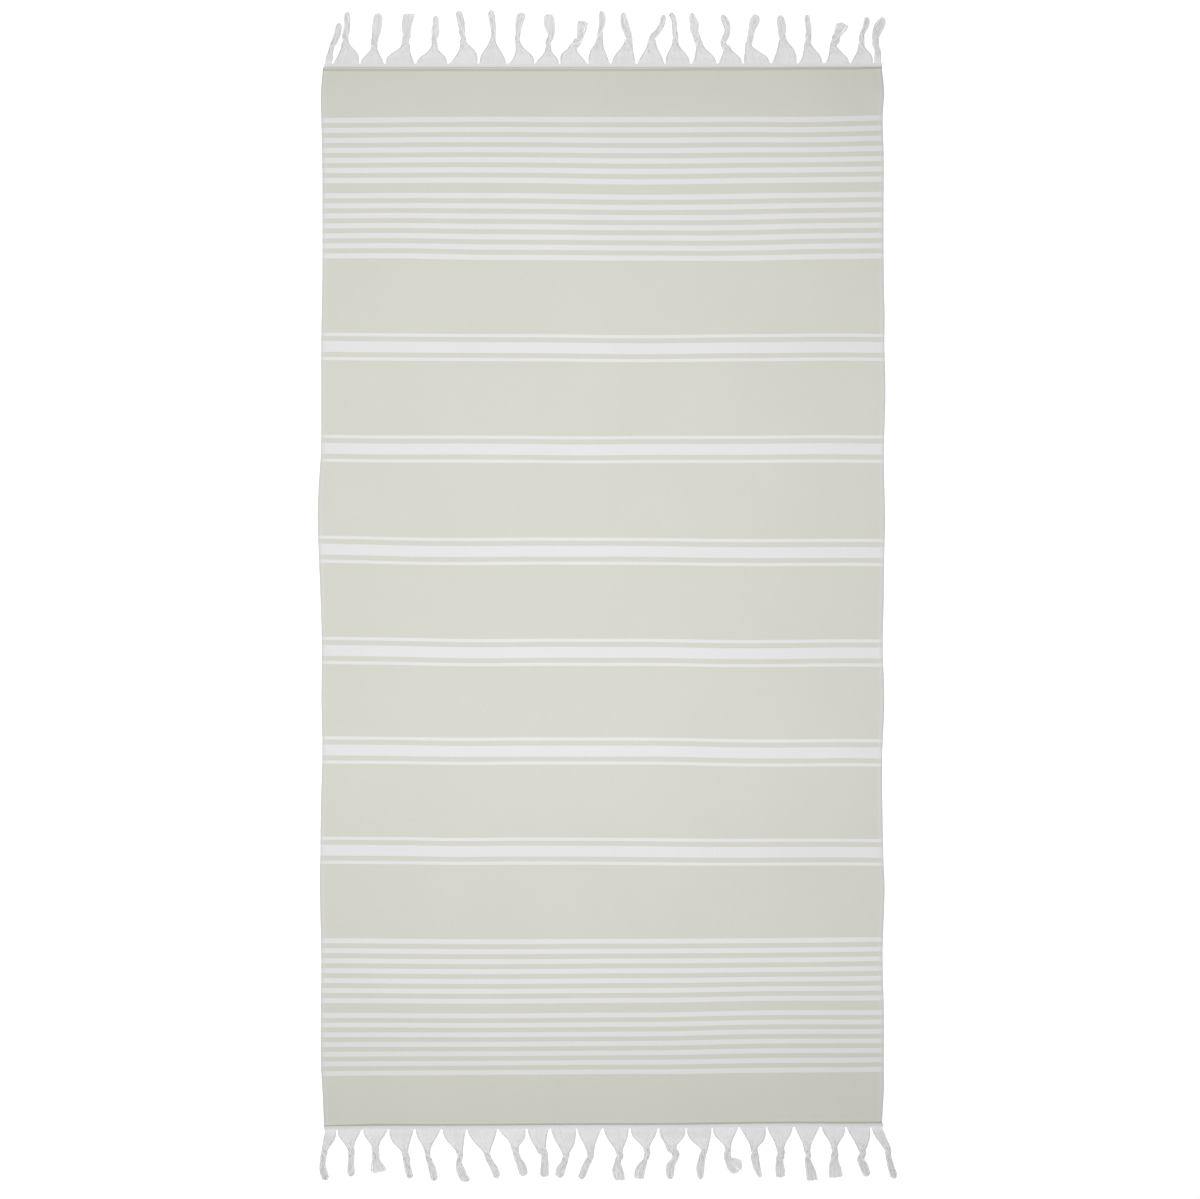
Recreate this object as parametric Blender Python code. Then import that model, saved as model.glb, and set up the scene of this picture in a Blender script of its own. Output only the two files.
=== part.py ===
"""A hammam towel lying flat, face up: one flat-woven cotton cloth with a knotted fringe at each end.

Metres, +Z up. The towel lies on z = 0 with its length along Y and its width along X, and the origin is
the middle of the whole outline, tassels included. The tables are in millimetres, counted from the middle
of the cloth, and each object's location brings the outline's middle to the origin.
"""

from collections import namedtuple

import bmesh
import bpy

MM = 0.001

# Driving dimensions
CLOTH_WIDTH = 900.0
CLOTH_LENGTH = 1692.8
CLOTH_THICKNESS = 1.6
SELVAGE_WIDTH = 6.0
HEM_WIDTH = 5.0
EDGE_THICKNESS = 2.2  # at the selvages and the end hems
STRIP_GAP = 0.3  # the cut that parts each fringe from the cloth
STRIP_WIDTH = 6.0
STRIP_THICKNESS = 1.8
STRIP_END = 1.5  # how far the strip runs past its outer tassels
YARN_SECTION = 56.0  # square millimetres of yarn gathered in one tassel
KNOT_HEIGHT = 6.5
CROWN_SHARE = 0.62  # how wide the top of a gathered lock is, against its foot
TIP_SHARE = 0.55  # how wide and high the round end of a tail is, against the tail
TIP_REACH = 2.4  # how far that end stands past the tail's last point

# The grid of the cloth: distances in from an edge where the lines are close, and the even step between
SIDE_LINES = (0.0, SELVAGE_WIDTH, 18.0, 40.0, 75.0)
END_LINES = (0.0, HEM_WIDTH, 16.0, 36.0)
LINE_STEP_ACROSS = 62.0
LINE_STEP_ALONG = 40.0

FAN_STEPS = 4
TAIL_STEPS_PER_SPAN = 3

# Where the cloth's sides stand beyond (+) or inside (-) the straight sides, and how far each weft line
# rises towards +Y at its two ends, from the upper end of the cloth to the lower one
Weft = namedtuple("Weft", "y left_out right_out left_rise right_rise")
WEFT_LINES = (
    Weft(846.4, -2.8, -2.2, 0.0, 0.8),
    Weft(804.0, 0.3, 1.1, -0.6, 2.0),
    Weft(765.0, -0.1, -0.8, -1.2, 3.0),
    Weft(700.0, -1.5, 0.8, 0.2, 3.2),
    Weft(586.0, -2.0, 0.6, 1.8, 3.2),
    Weft(490.0, -1.7, 1.2, 3.4, 1.8),
    Weft(450.0, -0.8, 2.4, 3.0, 1.0),
    Weft(400.0, 0.0, 2.0, 2.4, 0.4),
    Weft(330.0, -0.2, 3.3, 2.0, 1.0),
    Weft(226.0, 0.6, 1.1, 2.5, 0.3),
    Weft(178.0, 3.6, 1.9, 2.9, -0.8),
    Weft(125.0, 5.4, 2.8, 3.2, -1.8),
    Weft(58.0, 3.6, 1.5, 3.5, -2.3),
    Weft(-8.0, 1.1, 0.8, 3.4, -2.0),
    Weft(-80.0, -1.0, -0.7, 3.2, -1.2),
    Weft(-165.0, -0.4, 1.8, 2.7, -2.0),
    Weft(-253.0, -1.8, -1.5, 1.9, -3.0),
    Weft(-337.0, 0.5, -1.2, 1.6, -3.0),
    Weft(-427.0, 1.5, 0.5, 1.8, -1.6),
    Weft(-470.0, 1.9, 2.0, 1.6, 0.4),
    Weft(-580.0, -0.2, -0.9, 0.6, 3.6),
    Weft(-676.0, 0.8, 1.0, -0.8, 4.3),
    Weft(-753.0, 0.1, 0.8, -3.0, 4.2),
    Weft(-791.0, -2.2, 1.1, -3.0, 3.5),
    Weft(-846.4, -4.5, -2.0, -2.4, 2.4),
)

# Where the cloth lifts a little off the surface, mostly along its sides
Swell = namedtuple("Swell", "x y reach_x reach_y lift")
SWELLS = (
    Swell(452.0, 806.0, 46.0, 34.0, 3.4),
    Swell(-452.0, 804.0, 44.0, 32.0, 2.0),
    Swell(-457.0, 128.0, 70.0, 120.0, 2.2),
    Swell(-451.0, 345.0, 60.0, 90.0, 1.3),
    Swell(-452.0, -500.0, 60.0, 130.0, 1.8),
    Swell(454.0, 325.0, 70.0, 100.0, 2.0),
    Swell(452.0, 105.0, 60.0, 80.0, 1.4),
    Swell(452.0, -464.0, 66.0, 90.0, 1.7),
    Swell(451.0, -690.0, 50.0, 80.0, 1.2),
    Swell(160.0, 300.0, 90.0, 110.0, 1.0),
    Swell(176.0, -170.0, 90.0, 130.0, 1.0),
    Swell(-210.0, 560.0, 150.0, 90.0, 0.8),
    Swell(-150.0, -560.0, 170.0, 100.0, 0.8),
)

# One row for each tassel, left to right: the stretch of edge it is gathered from, how domed its fan is on
# its left and right (1 is straight, less is hollow), and the line from the neck through the tail to the
# tip, each point as the place across, the distance out from the cloth's end, and the width there
Tassel = namedtuple("Tassel", "root_from root_to left_dome right_dome line")
UPPER_TASSELS = (
    Tassel(-443.5, -433, 1.0, 1.0, ((-434.5, 25, 9), (-429, 40, 11), (-424, 52, 12), (-421, 68.5, 10))),
    Tassel(-430, -389, 0.8, 2.7, ((-411, 37, 14), (-410.5, 49, 12), (-408.5, 64, 12), (-408, 86.5, 10))),
    Tassel(
        -388, -350, 1.2, 1.0,
        ((-365, 28, 12.5), (-364, 44, 12.5), (-361, 60, 16), (-359, 77, 16), (-358, 84, 13)),
    ),
    Tassel(
        -346, -300, 1.6, 0.9,
        ((-315.5, 38, 13.5), (-313, 52, 15), (-313, 66, 16.5), (-309.5, 83, 19.5)),
    ),
    Tassel(
        -298, -248, 1.3, 1.8,
        ((-269.5, 29, 13), (-268, 43, 11), (-267, 56, 15), (-266.5, 70, 11), (-266.5, 80, 10)),
    ),
    Tassel(
        -245.5, -200, 0.5, 2.35,
        ((-222.5, 41, 11), (-223.5, 54, 10.5), (-225, 68, 12.5), (-230, 88, 12)),
    ),
    Tassel(
        -196.5, -154, 1.45, 1.15,
        ((-175.5, 41, 11), (-173.5, 57, 9.5), (-176, 75, 11.5), (-178, 89, 11)),
    ),
    Tassel(-150, -108, 0.4, 1.5, ((-135, 38, 10.5), (-134.5, 55, 9.5), (-132.5, 72, 14), (-128.5, 85, 14))),
    Tassel(
        -107, -69, 0.85, 1.2,
        (
            (-86.5, 28, 11), (-86.5, 39, 10.5), (-81.5, 51, 11.5),
            (-84, 65, 17.5), (-85.5, 75, 19), (-85.5, 83, 15),
        ),
    ),
    Tassel(
        -67, -25.5, 3.0, 0.6,
        ((-47.5, 32, 13), (-41, 39.5, 13), (-35.5, 47, 12), (-33, 58, 16), (-31, 72, 17.5)),
    ),
    Tassel(-22, 12, 2.1, 0.6, ((-4, 44, 11.5), (-4, 51, 12), (-2, 60, 9), (0, 77, 12.5), (-1.5, 88, 9.5))),
    Tassel(
        15.5, 53, 1.3, 0.8,
        ((41.5, 38, 14.5), (42, 49, 11.5), (39, 60, 14.5), (36.5, 69, 15), (33.5, 85, 10)),
    ),
    Tassel(
        57, 99, 0.95, 1.05,
        ((79.5, 37, 15), (79.5, 45, 12.5), (84, 52.5, 11), (93.5, 64, 10.5), (98.5, 81.5, 10)),
    ),
    Tassel(
        101.5, 140, 1.8, 1.25,
        ((117, 38, 12), (117, 49, 10), (115.5, 60, 10), (115, 72, 10), (110.5, 85, 11)),
    ),
    Tassel(
        144, 182.5, 0.45, 1.5,
        ((156.5, 33, 13.5), (152, 45, 12), (148, 58, 13), (148, 70, 16), (143.5, 84.5, 9)),
    ),
    Tassel(
        186, 223.5, 0.5, 1.75,
        (
            (197, 31, 12.5), (194.5, 39, 11.5), (198.5, 51, 12),
            (200.5, 62, 11.5), (197, 74, 15), (193, 81.5, 10.5),
        ),
    ),
    Tassel(
        227.5, 268, 1.5, 1.6,
        (
            (235, 32, 13.5), (236, 42, 11), (238.5, 53, 11.5),
            (240, 63, 13.5), (244.5, 75, 18), (246, 82, 12.5),
        ),
    ),
    Tassel(271.5, 311.5, 0.65, 2.3, ((289, 42, 13.5), (287.5, 51, 12.5), (287, 64, 15.5), (285, 80.5, 12))),
    Tassel(313, 352.5, 0.4, 1.45, ((329, 36, 12), (329.5, 47, 11.5), (330.5, 57, 11.5), (327.5, 81, 10))),
    Tassel(356, 397, 0.4, 1.2, ((369.5, 35, 12), (373.5, 44, 14), (378, 54, 14.5), (385.5, 69.5, 17.5))),
    Tassel(
        397.5, 433.5, 0.8, 2.1,
        ((415, 31, 12), (415, 41, 9.5), (416, 53, 9), (421.5, 64, 10), (424, 77.5, 10)),
    ),
    Tassel(
        435.5, 447, 1.0, 1.0,
        (
            (441, 23, 10.5), (437.5, 37, 12), (437.5, 49, 12.5),
            (441.5, 61, 17), (446, 69, 16.5), (448.5, 77, 11),
        ),
    ),
)
LOWER_TASSELS = (
    Tassel(
        -444, -425.5, 1.0, 2.1,
        ((-443.5, 37, 10.5), (-446.5, 51, 11), (-447.5, 62, 11), (-445.5, 74, 13), (-442, 84, 13)),
    ),
    Tassel(
        -424, -385, 1.55, 0.7,
        ((-403, 34, 12.5), (-400.5, 43, 12.5), (-402, 58, 11), (-401.5, 78.5, 12.5)),
    ),
    Tassel(
        -382.5, -342.5, 1.5, 0.85,
        ((-363, 32, 13), (-362.5, 51, 14), (-361, 62, 20), (-358.5, 70, 26.5), (-358, 73.5, 25.5)),
    ),
    Tassel(
        -341, -301.5, 2.05, 0.85,
        ((-316, 41, 11.5), (-313.5, 51, 12.5), (-312.5, 62, 12), (-307, 82.5, 12)),
    ),
    Tassel(
        -298.5, -258, 1.4, 0.85,
        ((-279.5, 39, 10.5), (-278.5, 50, 9), (-275, 60, 11), (-270.5, 75, 13), (-268.5, 86.5, 12)),
    ),
    Tassel(
        -255.5, -217.5, 1.8, 0.75,
        ((-228.5, 40, 12), (-228, 50, 10.5), (-229, 61, 11), (-225.5, 75, 15.5), (-218, 88.5, 14)),
    ),
    Tassel(
        -217, -167, 1.4, 1.05,
        ((-184.5, 44, 10.5), (-181.5, 54, 11), (-172, 71, 12.5), (-168, 82.5, 13)),
    ),
    Tassel(
        -166.5, -123, 0.8, 2.2,
        ((-139.5, 35, 13.5), (-138, 44, 11.5), (-134, 56, 12), (-127.5, 69, 15.5), (-126, 79.5, 14)),
    ),
    Tassel(-119.5, -83.5, 2.2, 0.35, ((-94.5, 41, 13), (-92, 50, 11.5), (-92, 61, 14), (-92.5, 81, 15))),
    Tassel(
        -82.5, -41.5, 1.4, 2.8,
        ((-58, 44, 12.5), (-58.5, 53, 11), (-61.5, 62, 12), (-66.5, 72, 15.5), (-68.5, 82.5, 13.5)),
    ),
    Tassel(-40.5, -0.5, 0.95, 0.65, ((-18.5, 44, 11.5), (-19.5, 52, 11), (-26, 65, 12.5), (-34, 84.5, 12))),
    Tassel(
        2.5, 42, 1.3, 1.4,
        ((27, 42, 12), (28.5, 49, 12.5), (25, 59, 11.5), (25, 73, 19), (29, 86.5, 17)),
    ),
    Tassel(
        46.5, 89, 1.9, 1.1,
        ((71, 36, 11), (72, 45, 10.5), (69, 56, 9), (62, 69, 17), (59, 78, 18), (59.5, 84.5, 17)),
    ),
    Tassel(
        91.5, 133.5, 2.0, 1.1,
        (
            (113.5, 39, 14.5), (118, 49, 12.5), (116, 56, 11),
            (109, 67, 15.5), (108.5, 78, 14.5), (109.5, 85, 13),
        ),
    ),
    Tassel(
        135.5, 175.5, 2.1, 1.3,
        ((163.5, 38, 13), (162, 46, 11.5), (158, 60, 13), (157, 74, 13), (157.5, 85, 10)),
    ),
    Tassel(
        177, 218, 1.7, 0.8,
        ((201.5, 36, 10.5), (200, 45, 13), (203.5, 56, 17.5), (211, 66, 26.5), (218.5, 71, 22.5)),
    ),
    Tassel(
        220.5, 262.5, 0.85, 2.8,
        ((243, 37, 12), (244.5, 46, 12.5), (245, 56, 14.5), (248, 70, 12), (252.5, 82.5, 8)),
    ),
    Tassel(
        263.5, 305, 0.95, 1.1,
        ((285, 37, 13.5), (286, 46, 13), (284, 61, 14), (285, 76, 17), (285, 83, 15.5)),
    ),
    Tassel(
        309, 348, 0.85, 0.75,
        ((328, 41, 10.5), (330, 50, 10), (329.5, 60, 12), (334, 77, 17), (336.5, 88.5, 18)),
    ),
    Tassel(
        351, 389, 1.05, 1.7,
        ((371.5, 36, 10.5), (373, 45, 11.5), (371.5, 57, 13.5), (372.5, 73, 21), (374, 84, 22.5)),
    ),
    Tassel(
        390.5, 429.5, 0.95, 2.8,
        ((416, 41, 13), (416, 49, 12), (414.5, 58, 14), (419.5, 70, 15.5), (424, 82, 13.5)),
    ),
    Tassel(430.5, 448.5, 1.4, 1.05, ((455.5, 38, 12), (458, 47, 11), (460, 62, 11), (467.5, 86, 12))),
)

SAGE = (0.69, 0.69, 0.61)
YARN_WHITE = (0.80, 0.80, 0.81)


def weft_value(column, y):
    """A column of WEFT_LINES at y: a smooth cubic through its rows, with slopes from their neighbours."""
    rows = WEFT_LINES
    last = len(rows) - 1
    span = next((i for i in range(last) if y >= rows[i + 1].y), last - 1)

    def slope(i):
        before, after = rows[max(i - 1, 0)], rows[min(i + 1, last)]
        return (getattr(after, column) - getattr(before, column)) / (after.y - before.y)

    start, end = rows[span], rows[span + 1]
    reach = end.y - start.y
    t = (y - start.y) / reach
    return (
        (2 * t**3 - 3 * t**2 + 1) * getattr(start, column)
        + (t**3 - 2 * t**2 + t) * reach * slope(span)
        + (3 * t**2 - 2 * t**3) * getattr(end, column)
        + (t**3 - t**2) * reach * slope(span + 1)
    )


def cloth_point(across, along):
    """The place of a point given as in the straight rectangle: the sides stand in or out, the wefts bow."""
    half = CLOTH_WIDTH / 2
    side = "left" if across < 0 else "right"
    x = across * (1 + weft_value(side + "_out", along) / half)
    return x, along + weft_value(side + "_rise", along) * (across / half) ** 2


def swell_lift(x, y):
    """How high the cloth's underside is: the sum of the swells, each a round hill that ends level."""
    lift = 0.0
    for swell in SWELLS:
        far = ((x - swell.x) / swell.reach_x) ** 2 + ((y - swell.y) / swell.reach_y) ** 2
        if far < 1:
            lift += swell.lift * (1 - far) ** 2
    return lift


def grid_lines(length, close_lines, step):
    """Lines from -length/2 to length/2: the close ones at both ends, and even ones between."""
    half = length / 2
    inner = half - close_lines[-1]
    count = round(2 * inner / step)
    even = [-inner + 2 * inner * i / count for i in range(1, count)]
    return [-half + d for d in close_lines] + even + [half - d for d in reversed(close_lines)]


def object_from(name, bm, colour, roughness):
    """The object of a finished bmesh, smooth but for its sharp edges, with its own material."""
    bmesh.ops.recalc_face_normals(bm, faces=bm.faces)
    mesh = bpy.data.meshes.new(name)
    bm.to_mesh(mesh)
    bm.free()
    mesh.shade_smooth()
    mesh.set_sharp_from_angle(angle=0.7)
    material = bpy.data.materials.new(name)
    material.use_nodes = True
    shader = material.node_tree.nodes["Principled BSDF"]
    shader.inputs["Base Color"].default_value = (*colour, 1.0)
    shader.inputs["Roughness"].default_value = roughness
    shader.inputs["Metallic"].default_value = 0.0
    mesh.materials.append(material)
    obj = bpy.data.objects.new(name, mesh)
    bpy.context.scene.collection.objects.link(obj)
    return obj


def make_cloth():
    """The sheet: an underside and a top on one grid, thicker at the selvages and hems, and its four sides."""
    bm = bmesh.new()
    lines_across = grid_lines(CLOTH_WIDTH, SIDE_LINES, LINE_STEP_ACROSS)
    lines_along = grid_lines(CLOTH_LENGTH, END_LINES, LINE_STEP_ALONG)
    under, top = [], []
    for along in lines_along:
        for across in lines_across:
            x, y = cloth_point(across, along)
            at_side = CLOTH_WIDTH / 2 - abs(across) < SELVAGE_WIDTH - 0.1
            at_end = CLOTH_LENGTH / 2 - abs(along) < HEM_WIDTH - 0.1
            thickness = EDGE_THICKNESS if at_side or at_end else CLOTH_THICKNESS
            lift = swell_lift(x, y)
            under.append(bm.verts.new((x * MM, y * MM, lift * MM)))
            top.append(bm.verts.new((x * MM, y * MM, (lift + thickness) * MM)))
    columns, rows = len(lines_across), len(lines_along)
    for sheet in (under, top):
        for r in range(rows - 1):
            for c in range(columns - 1):
                a = r * columns + c
                bm.faces.new((sheet[a], sheet[a + 1], sheet[a + columns + 1], sheet[a + columns]))
    rim = list(range(columns))
    rim += [r * columns + columns - 1 for r in range(1, rows)]
    rim += [(rows - 1) * columns + c for c in range(columns - 2, -1, -1)]
    rim += [r * columns for r in range(rows - 2, 0, -1)]
    for a, b in zip(rim, rim[1:] + rim[:1]):
        bm.faces.new((under[a], under[b], top[b], top[a]))
    return object_from("towel_cloth", bm, SAGE, 0.9)


def lock_height(width):
    """The height of a lock of yarn that lies on the surface: its section over its width, within limits."""
    return min(max(YARN_SECTION / width, STRIP_THICKNESS), KNOT_HEIGHT)


def curve_at(before, start, end, after, t):
    """One coordinate of the smooth curve from start to end, and how fast it changes there."""
    chord = end - before
    bend = 2 * before - 5 * start + 4 * end - after
    twist = 3 * start - before - 3 * end + after
    return (
        start + 0.5 * (chord * t + bend * t**2 + twist * t**3),
        0.5 * (chord + 2 * bend * t + 3 * twist * t**2),
    )


def tail_sections(tassel, root_out):
    """Sections along the smooth curve through a tassel's line, and the smaller one that rounds its tip.

    Each is a place, a width, a height and the direction along the tail.
    """
    root = ((tassel.root_from + tassel.root_to) / 2, root_out, tassel.line[0][2])
    past_tip = [2 * last - before for last, before in zip(tassel.line[-1], tassel.line[-2])]
    points = [root, *tassel.line, past_tip]
    sections = []
    for i in range(1, len(points) - 2):
        steps = TAIL_STEPS_PER_SPAN + (i == len(points) - 3)
        for step in range(steps):
            t = step / TAIL_STEPS_PER_SPAN
            (x, run_x), (out, run_out), (width, _) = (
                curve_at(*column, t) for column in zip(*points[i - 1 : i + 3])
            )
            run = (run_x**2 + run_out**2) ** 0.5
            sections.append((x, out, width, lock_height(width), run_x / run, run_out / run))
    x, out, width, height, run_x, run_out = sections[-1]
    x, out = x + run_x * TIP_REACH, out + run_out * TIP_REACH
    sections.append((x, out, width * TIP_SHARE, height * TIP_SHARE, run_x, run_out))
    return sections


def make_fringe(name, tassels, end_y, outward):
    """A narrow strip along the cloth's end and its tassels, each one lock from the strip to the tip."""
    bm = bmesh.new()

    def corner(x, out, z):
        return bm.verts.new((x * MM, (end_y + outward * out) * MM, z * MM))

    def join(ring, other):
        for i in range(4):
            j = (i + 1) % 4
            bm.faces.new((ring[i], ring[j], other[j], other[i]))

    def edge_out(x):
        """How far out the cloth's end lies at x, because its last weft line bows."""
        return outward * (cloth_point(x, end_y)[1] - end_y)

    breaks = [tassels[0].root_from - STRIP_END]
    for tassel in tassels:
        breaks += [tassel.root_from, tassel.root_to]
    breaks.append(tassels[-1].root_to + STRIP_END)
    strip = []
    for x in breaks:
        inner = edge_out(x) + STRIP_GAP
        strip.append(
            (
                corner(x, inner, 0),
                corner(x, inner + STRIP_WIDTH, 0),
                corner(x, inner + STRIP_WIDTH, STRIP_THICKNESS),
                corner(x, inner, STRIP_THICKNESS),
            )
        )
    bm.faces.new(strip[0])
    bm.faces.new(strip[-1])
    for i, (ring, other) in enumerate(zip(strip, strip[1:])):
        bm.faces.new((ring[0], ring[1], other[1], other[0]))
        bm.faces.new((ring[2], ring[3], other[3], other[2]))
        bm.faces.new((ring[3], ring[0], other[0], other[3]))
        if i % 2 == 0:
            bm.faces.new((ring[1], ring[2], other[2], other[1]))

    for number, tassel in enumerate(tassels):
        left_root, right_root = strip[1 + 2 * number], strip[2 + 2 * number]
        ring = (left_root[1], right_root[1], right_root[2], left_root[2])
        bow = edge_out((tassel.root_from + tassel.root_to) / 2)
        tassel = tassel._replace(line=[(x, out + bow, width) for x, out, width in tassel.line])
        root_out = bow + STRIP_GAP + STRIP_WIDTH
        neck_x, neck_out, neck_width = tassel.line[0]
        for step in range(1, FAN_STEPS):
            t = step / FAN_STEPS
            left = tassel.root_from + (neck_x - neck_width / 2 - tassel.root_from) * t**tassel.left_dome
            right = tassel.root_to + (neck_x + neck_width / 2 - tassel.root_to) * t**tassel.right_dome
            slant = (right - left) * (1 - CROWN_SHARE) / 2 * t
            out = root_out + (neck_out - root_out) * t
            height = lock_height(right - left)
            row = (
                corner(left, out, 0),
                corner(right, out, 0),
                corner(right - slant, out, height),
                corner(left + slant, out, height),
            )
            join(ring, row)
            ring = row
        for x, out, width, height, run_x, run_out in tail_sections(tassel, root_out):
            side_x, side_out = run_out * width / 2, -run_x * width / 2
            row = (
                corner(x - side_x, out - side_out, 0),
                corner(x + side_x, out + side_out, 0),
                corner(x + side_x * CROWN_SHARE, out + side_out * CROWN_SHARE, height),
                corner(x - side_x * CROWN_SHARE, out - side_out * CROWN_SHARE, height),
            )
            join(ring, row)
            ring = row
        bm.faces.new(ring)
    return object_from(name, bm, YARN_WHITE, 0.95)


def centre_outline(objects):
    """Moves every object alike, so that the middle of the whole outline is at the origin."""
    places = [vertex.co for obj in objects for vertex in obj.data.vertices]
    middle_x = (min(p.x for p in places) + max(p.x for p in places)) / 2
    middle_y = (min(p.y for p in places) + max(p.y for p in places)) / 2
    for obj in objects:
        obj.location = (-middle_x, -middle_y, 0.0)


def main():
    for obj in list(bpy.data.objects):
        bpy.data.objects.remove(obj, do_unlink=True)
    end = CLOTH_LENGTH / 2
    centre_outline(
        [
            make_cloth(),
            make_fringe("fringe_upper_end", UPPER_TASSELS, end, 1),
            make_fringe("fringe_lower_end", LOWER_TASSELS, -end, -1),
        ]
    )


main()
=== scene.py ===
"""The looks of a hammam towel that lies flat and face up: woven cloth, end bands and hand-knotted tassels.

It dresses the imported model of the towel. Tables are in millimetres from the middle of the cloth, and meshes
are in metres in the frame of the model, whose up is +Z and whose towel lies along Y.
"""

from collections import namedtuple

import bpy
import numpy as np
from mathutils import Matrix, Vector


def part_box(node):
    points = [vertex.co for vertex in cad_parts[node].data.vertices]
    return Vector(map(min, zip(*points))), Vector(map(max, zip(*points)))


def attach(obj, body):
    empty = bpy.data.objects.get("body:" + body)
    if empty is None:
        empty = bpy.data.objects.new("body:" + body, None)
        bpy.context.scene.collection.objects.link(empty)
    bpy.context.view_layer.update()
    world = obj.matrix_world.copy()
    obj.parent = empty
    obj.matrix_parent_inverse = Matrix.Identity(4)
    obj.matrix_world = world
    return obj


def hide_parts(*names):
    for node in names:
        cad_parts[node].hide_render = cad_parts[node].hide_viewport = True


bl_info = {
    "name": "Hammam towel",
    "version": (1, 0, 0),
    "blender": (4, 5, 0),
    "location": "3D View > Sidebar > Towel",
    "description": "Adds a striped flat-woven hammam towel with knotted tassels, and a stage for it",
    "category": "Add Mesh",
}

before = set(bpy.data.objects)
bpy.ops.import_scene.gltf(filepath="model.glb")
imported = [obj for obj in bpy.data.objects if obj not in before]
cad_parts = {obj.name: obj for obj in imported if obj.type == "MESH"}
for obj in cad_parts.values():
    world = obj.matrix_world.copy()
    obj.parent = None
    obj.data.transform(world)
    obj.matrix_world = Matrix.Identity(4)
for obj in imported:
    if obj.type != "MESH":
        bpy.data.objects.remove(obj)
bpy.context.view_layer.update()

MM = 0.001

CLOTH_WIDTH = 900.0
CLOTH_LENGTH = 1692.8
HALF_WIDTH = CLOTH_WIDTH / 2
HALF_LENGTH = CLOTH_LENGTH / 2

# Distances in from the cloth's edges where the grid has lines, and its widest steps in between
SIDE_LINES = (0.0, 0.5, 1.1, 1.8, 2.6, 3.4, 4.2, 5.0, 6.0, 8.0, 12.0)
END_LINES = (0.0, 0.4, 0.8, 1.4, 2.1, 2.8, 3.5, 4.2, 5.2, 7.0, 10.0)
STEP_ACROSS = 7.4
STEP_ALONG = 9.0
STRIPE_EDGE = 0.35  # half the width over which one weft colour gives way to the next

# The unevenness of the laid cloth: waves by turns across, turns along (in radians a millimetre) and phase
WAVES = ((0.021, 0.006, 0.4), (-0.009, 0.017, 1.9), (0.047, -0.013, 3.1), (0.012, 0.043, 5.2))

# The section of the cloth at its sides and ends: (distance in from the edge, thickness)
SIDE_SECTION = ((0.0, 0.7), (0.5, 1.35), (1.1, 1.75), (2.0, 1.95), (4.2, 1.9), (6.0, 1.6), (8.0, 1.45))
END_SECTION = ((0.0, 0.8), (0.5, 1.6), (1.1, 2.0), (2.0, 2.15), (3.0, 2.1), (4.2, 1.7), (5.5, 1.45))
CLOTH_THICKNESS = SIDE_SECTION[-1][1]
CORNER_EXTRA = 0.4  # how much thicker a corner may be than the side or the end alone
THINNEST = 0.6
RIM_LIFT = 0.35  # how far the underside's rim curls up
RIM_REACH = 1.2

# The tones along the edges
SELVAGE_FADE = 1.6  # over how far the lighter line gives way to the cloth
SELVAGE_SHADE = 0.04  # how much darker the cloth is along its very edge, outside the lighter line
SHADE_REACH = 2.4  # how far in from the edge that is, and over how far it fades
HEM_FADE = 1.4

# The strip of dense picks past the end of the cloth, which the tassels hang from
STRIP_TUCK = 0.25  # how far it reaches under the rim of the cloth
STRIP_OUTER = 6.3
STRIP_THICKNESS = 1.8
STRIP_END = 1.5
STRIP_PICKS = 5
STRIP_STEP = 7.5
RIB_DEPTH = 0.4  # how deep the grooves between its picks are, out of its height
STRIP_EDGE = 0.3  # how high its edges are, out of its height
STRIP_SLOPE = 0.1  # over how much of its width it rises from its edges
STRIP_SHADE_REACH = 8.0  # how far out from the hem the strip is darker than the fans

# The tassels
YARN_SECTION = 56.0  # square millimetres of yarn gathered in one tassel
KNOT_HEIGHT = 6.5
YARN_VARIES = (0.9, 1.1)  # the thinnest and the thickest yarn, out of the usual one
YARN_SIDES = 5
FAN_POINTS = 12
KNOT_POINTS = 12
BRUSH_POINTS = 8
WRAP_POINTS = 22
FAN_CROWDING = 1.5  # how much closer its points are at the neck, where 1 is even
FAN_TUCK = 0.3  # how far back in the strip the fans begin
FAN_THICKER = 1.1  # how much thicker a yarn is in the fan than in the tail
ROOT_INSIDE = (0.0, -2.0, -0.25)  # from where the fan begins to where its yarns do, inside the strip
FEWEST_YARNS = 34
GOLDEN = 0.6180339887  # steps by the golden section spread evenly however many there are
GAP_SHARE = 0.3  # how much of the gap to the next tassel the outer yarns take at their roots
RIM_SHARE = 0.13  # the yarns that bunch along each side of a fan, out of all its yarns
RIM_RADIUS = 1.35
RIM_TURNS = 1.3  # how many times round the rim they lie
RIM_FORMED = 0.4  # how far along the fan they have bunched, and begin to gather for the neck
MIDDLE_FILL = 0.8  # how much of a fan's height the yarns between its rims fill
LEAST_ROOM = 0.5  # and the least height they have to lie in
RIM_SHADE = 0.17  # how much darker the outermost yarns of a fan are
RIM_SHADE_FROM = 0.25  # over how much of the fan's length that shade sets in
RIM_SHADE_EVEN = 0.4  # how much of it the whole rim has
RIM_SHADE_LINE = 0.8  # how much its darkest line adds, and where in the rim and how wide that line is
RIM_LINE_PLACE = 0.42
RIM_LINE_WIDTH = 0.24
GROOVE_SHADE = 0.15  # how much darker the yarns in the grooves between the strands of a knot are
CROSSING = 0.03  # how far out of order the yarns reach the neck
STRANDS = 3
STRAND_OUT = 0.56  # how far the middle of a strand is from the middle of the knot, out of its half width
STRAND_RADIUS = 0.47
STRANDS_PART = 3.0  # over how far below the neck the bundle parts into strands
STRANDS_JOIN = (-5.0, 9.0)  # where they begin to join, from the knot's end, and over how far
TURNS_VARY = (0.8, 1.25)  # the least and the most turned knot, out of the usual one
TURNS_END = 8.0  # how far past the knot's end the bundle still turns
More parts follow.
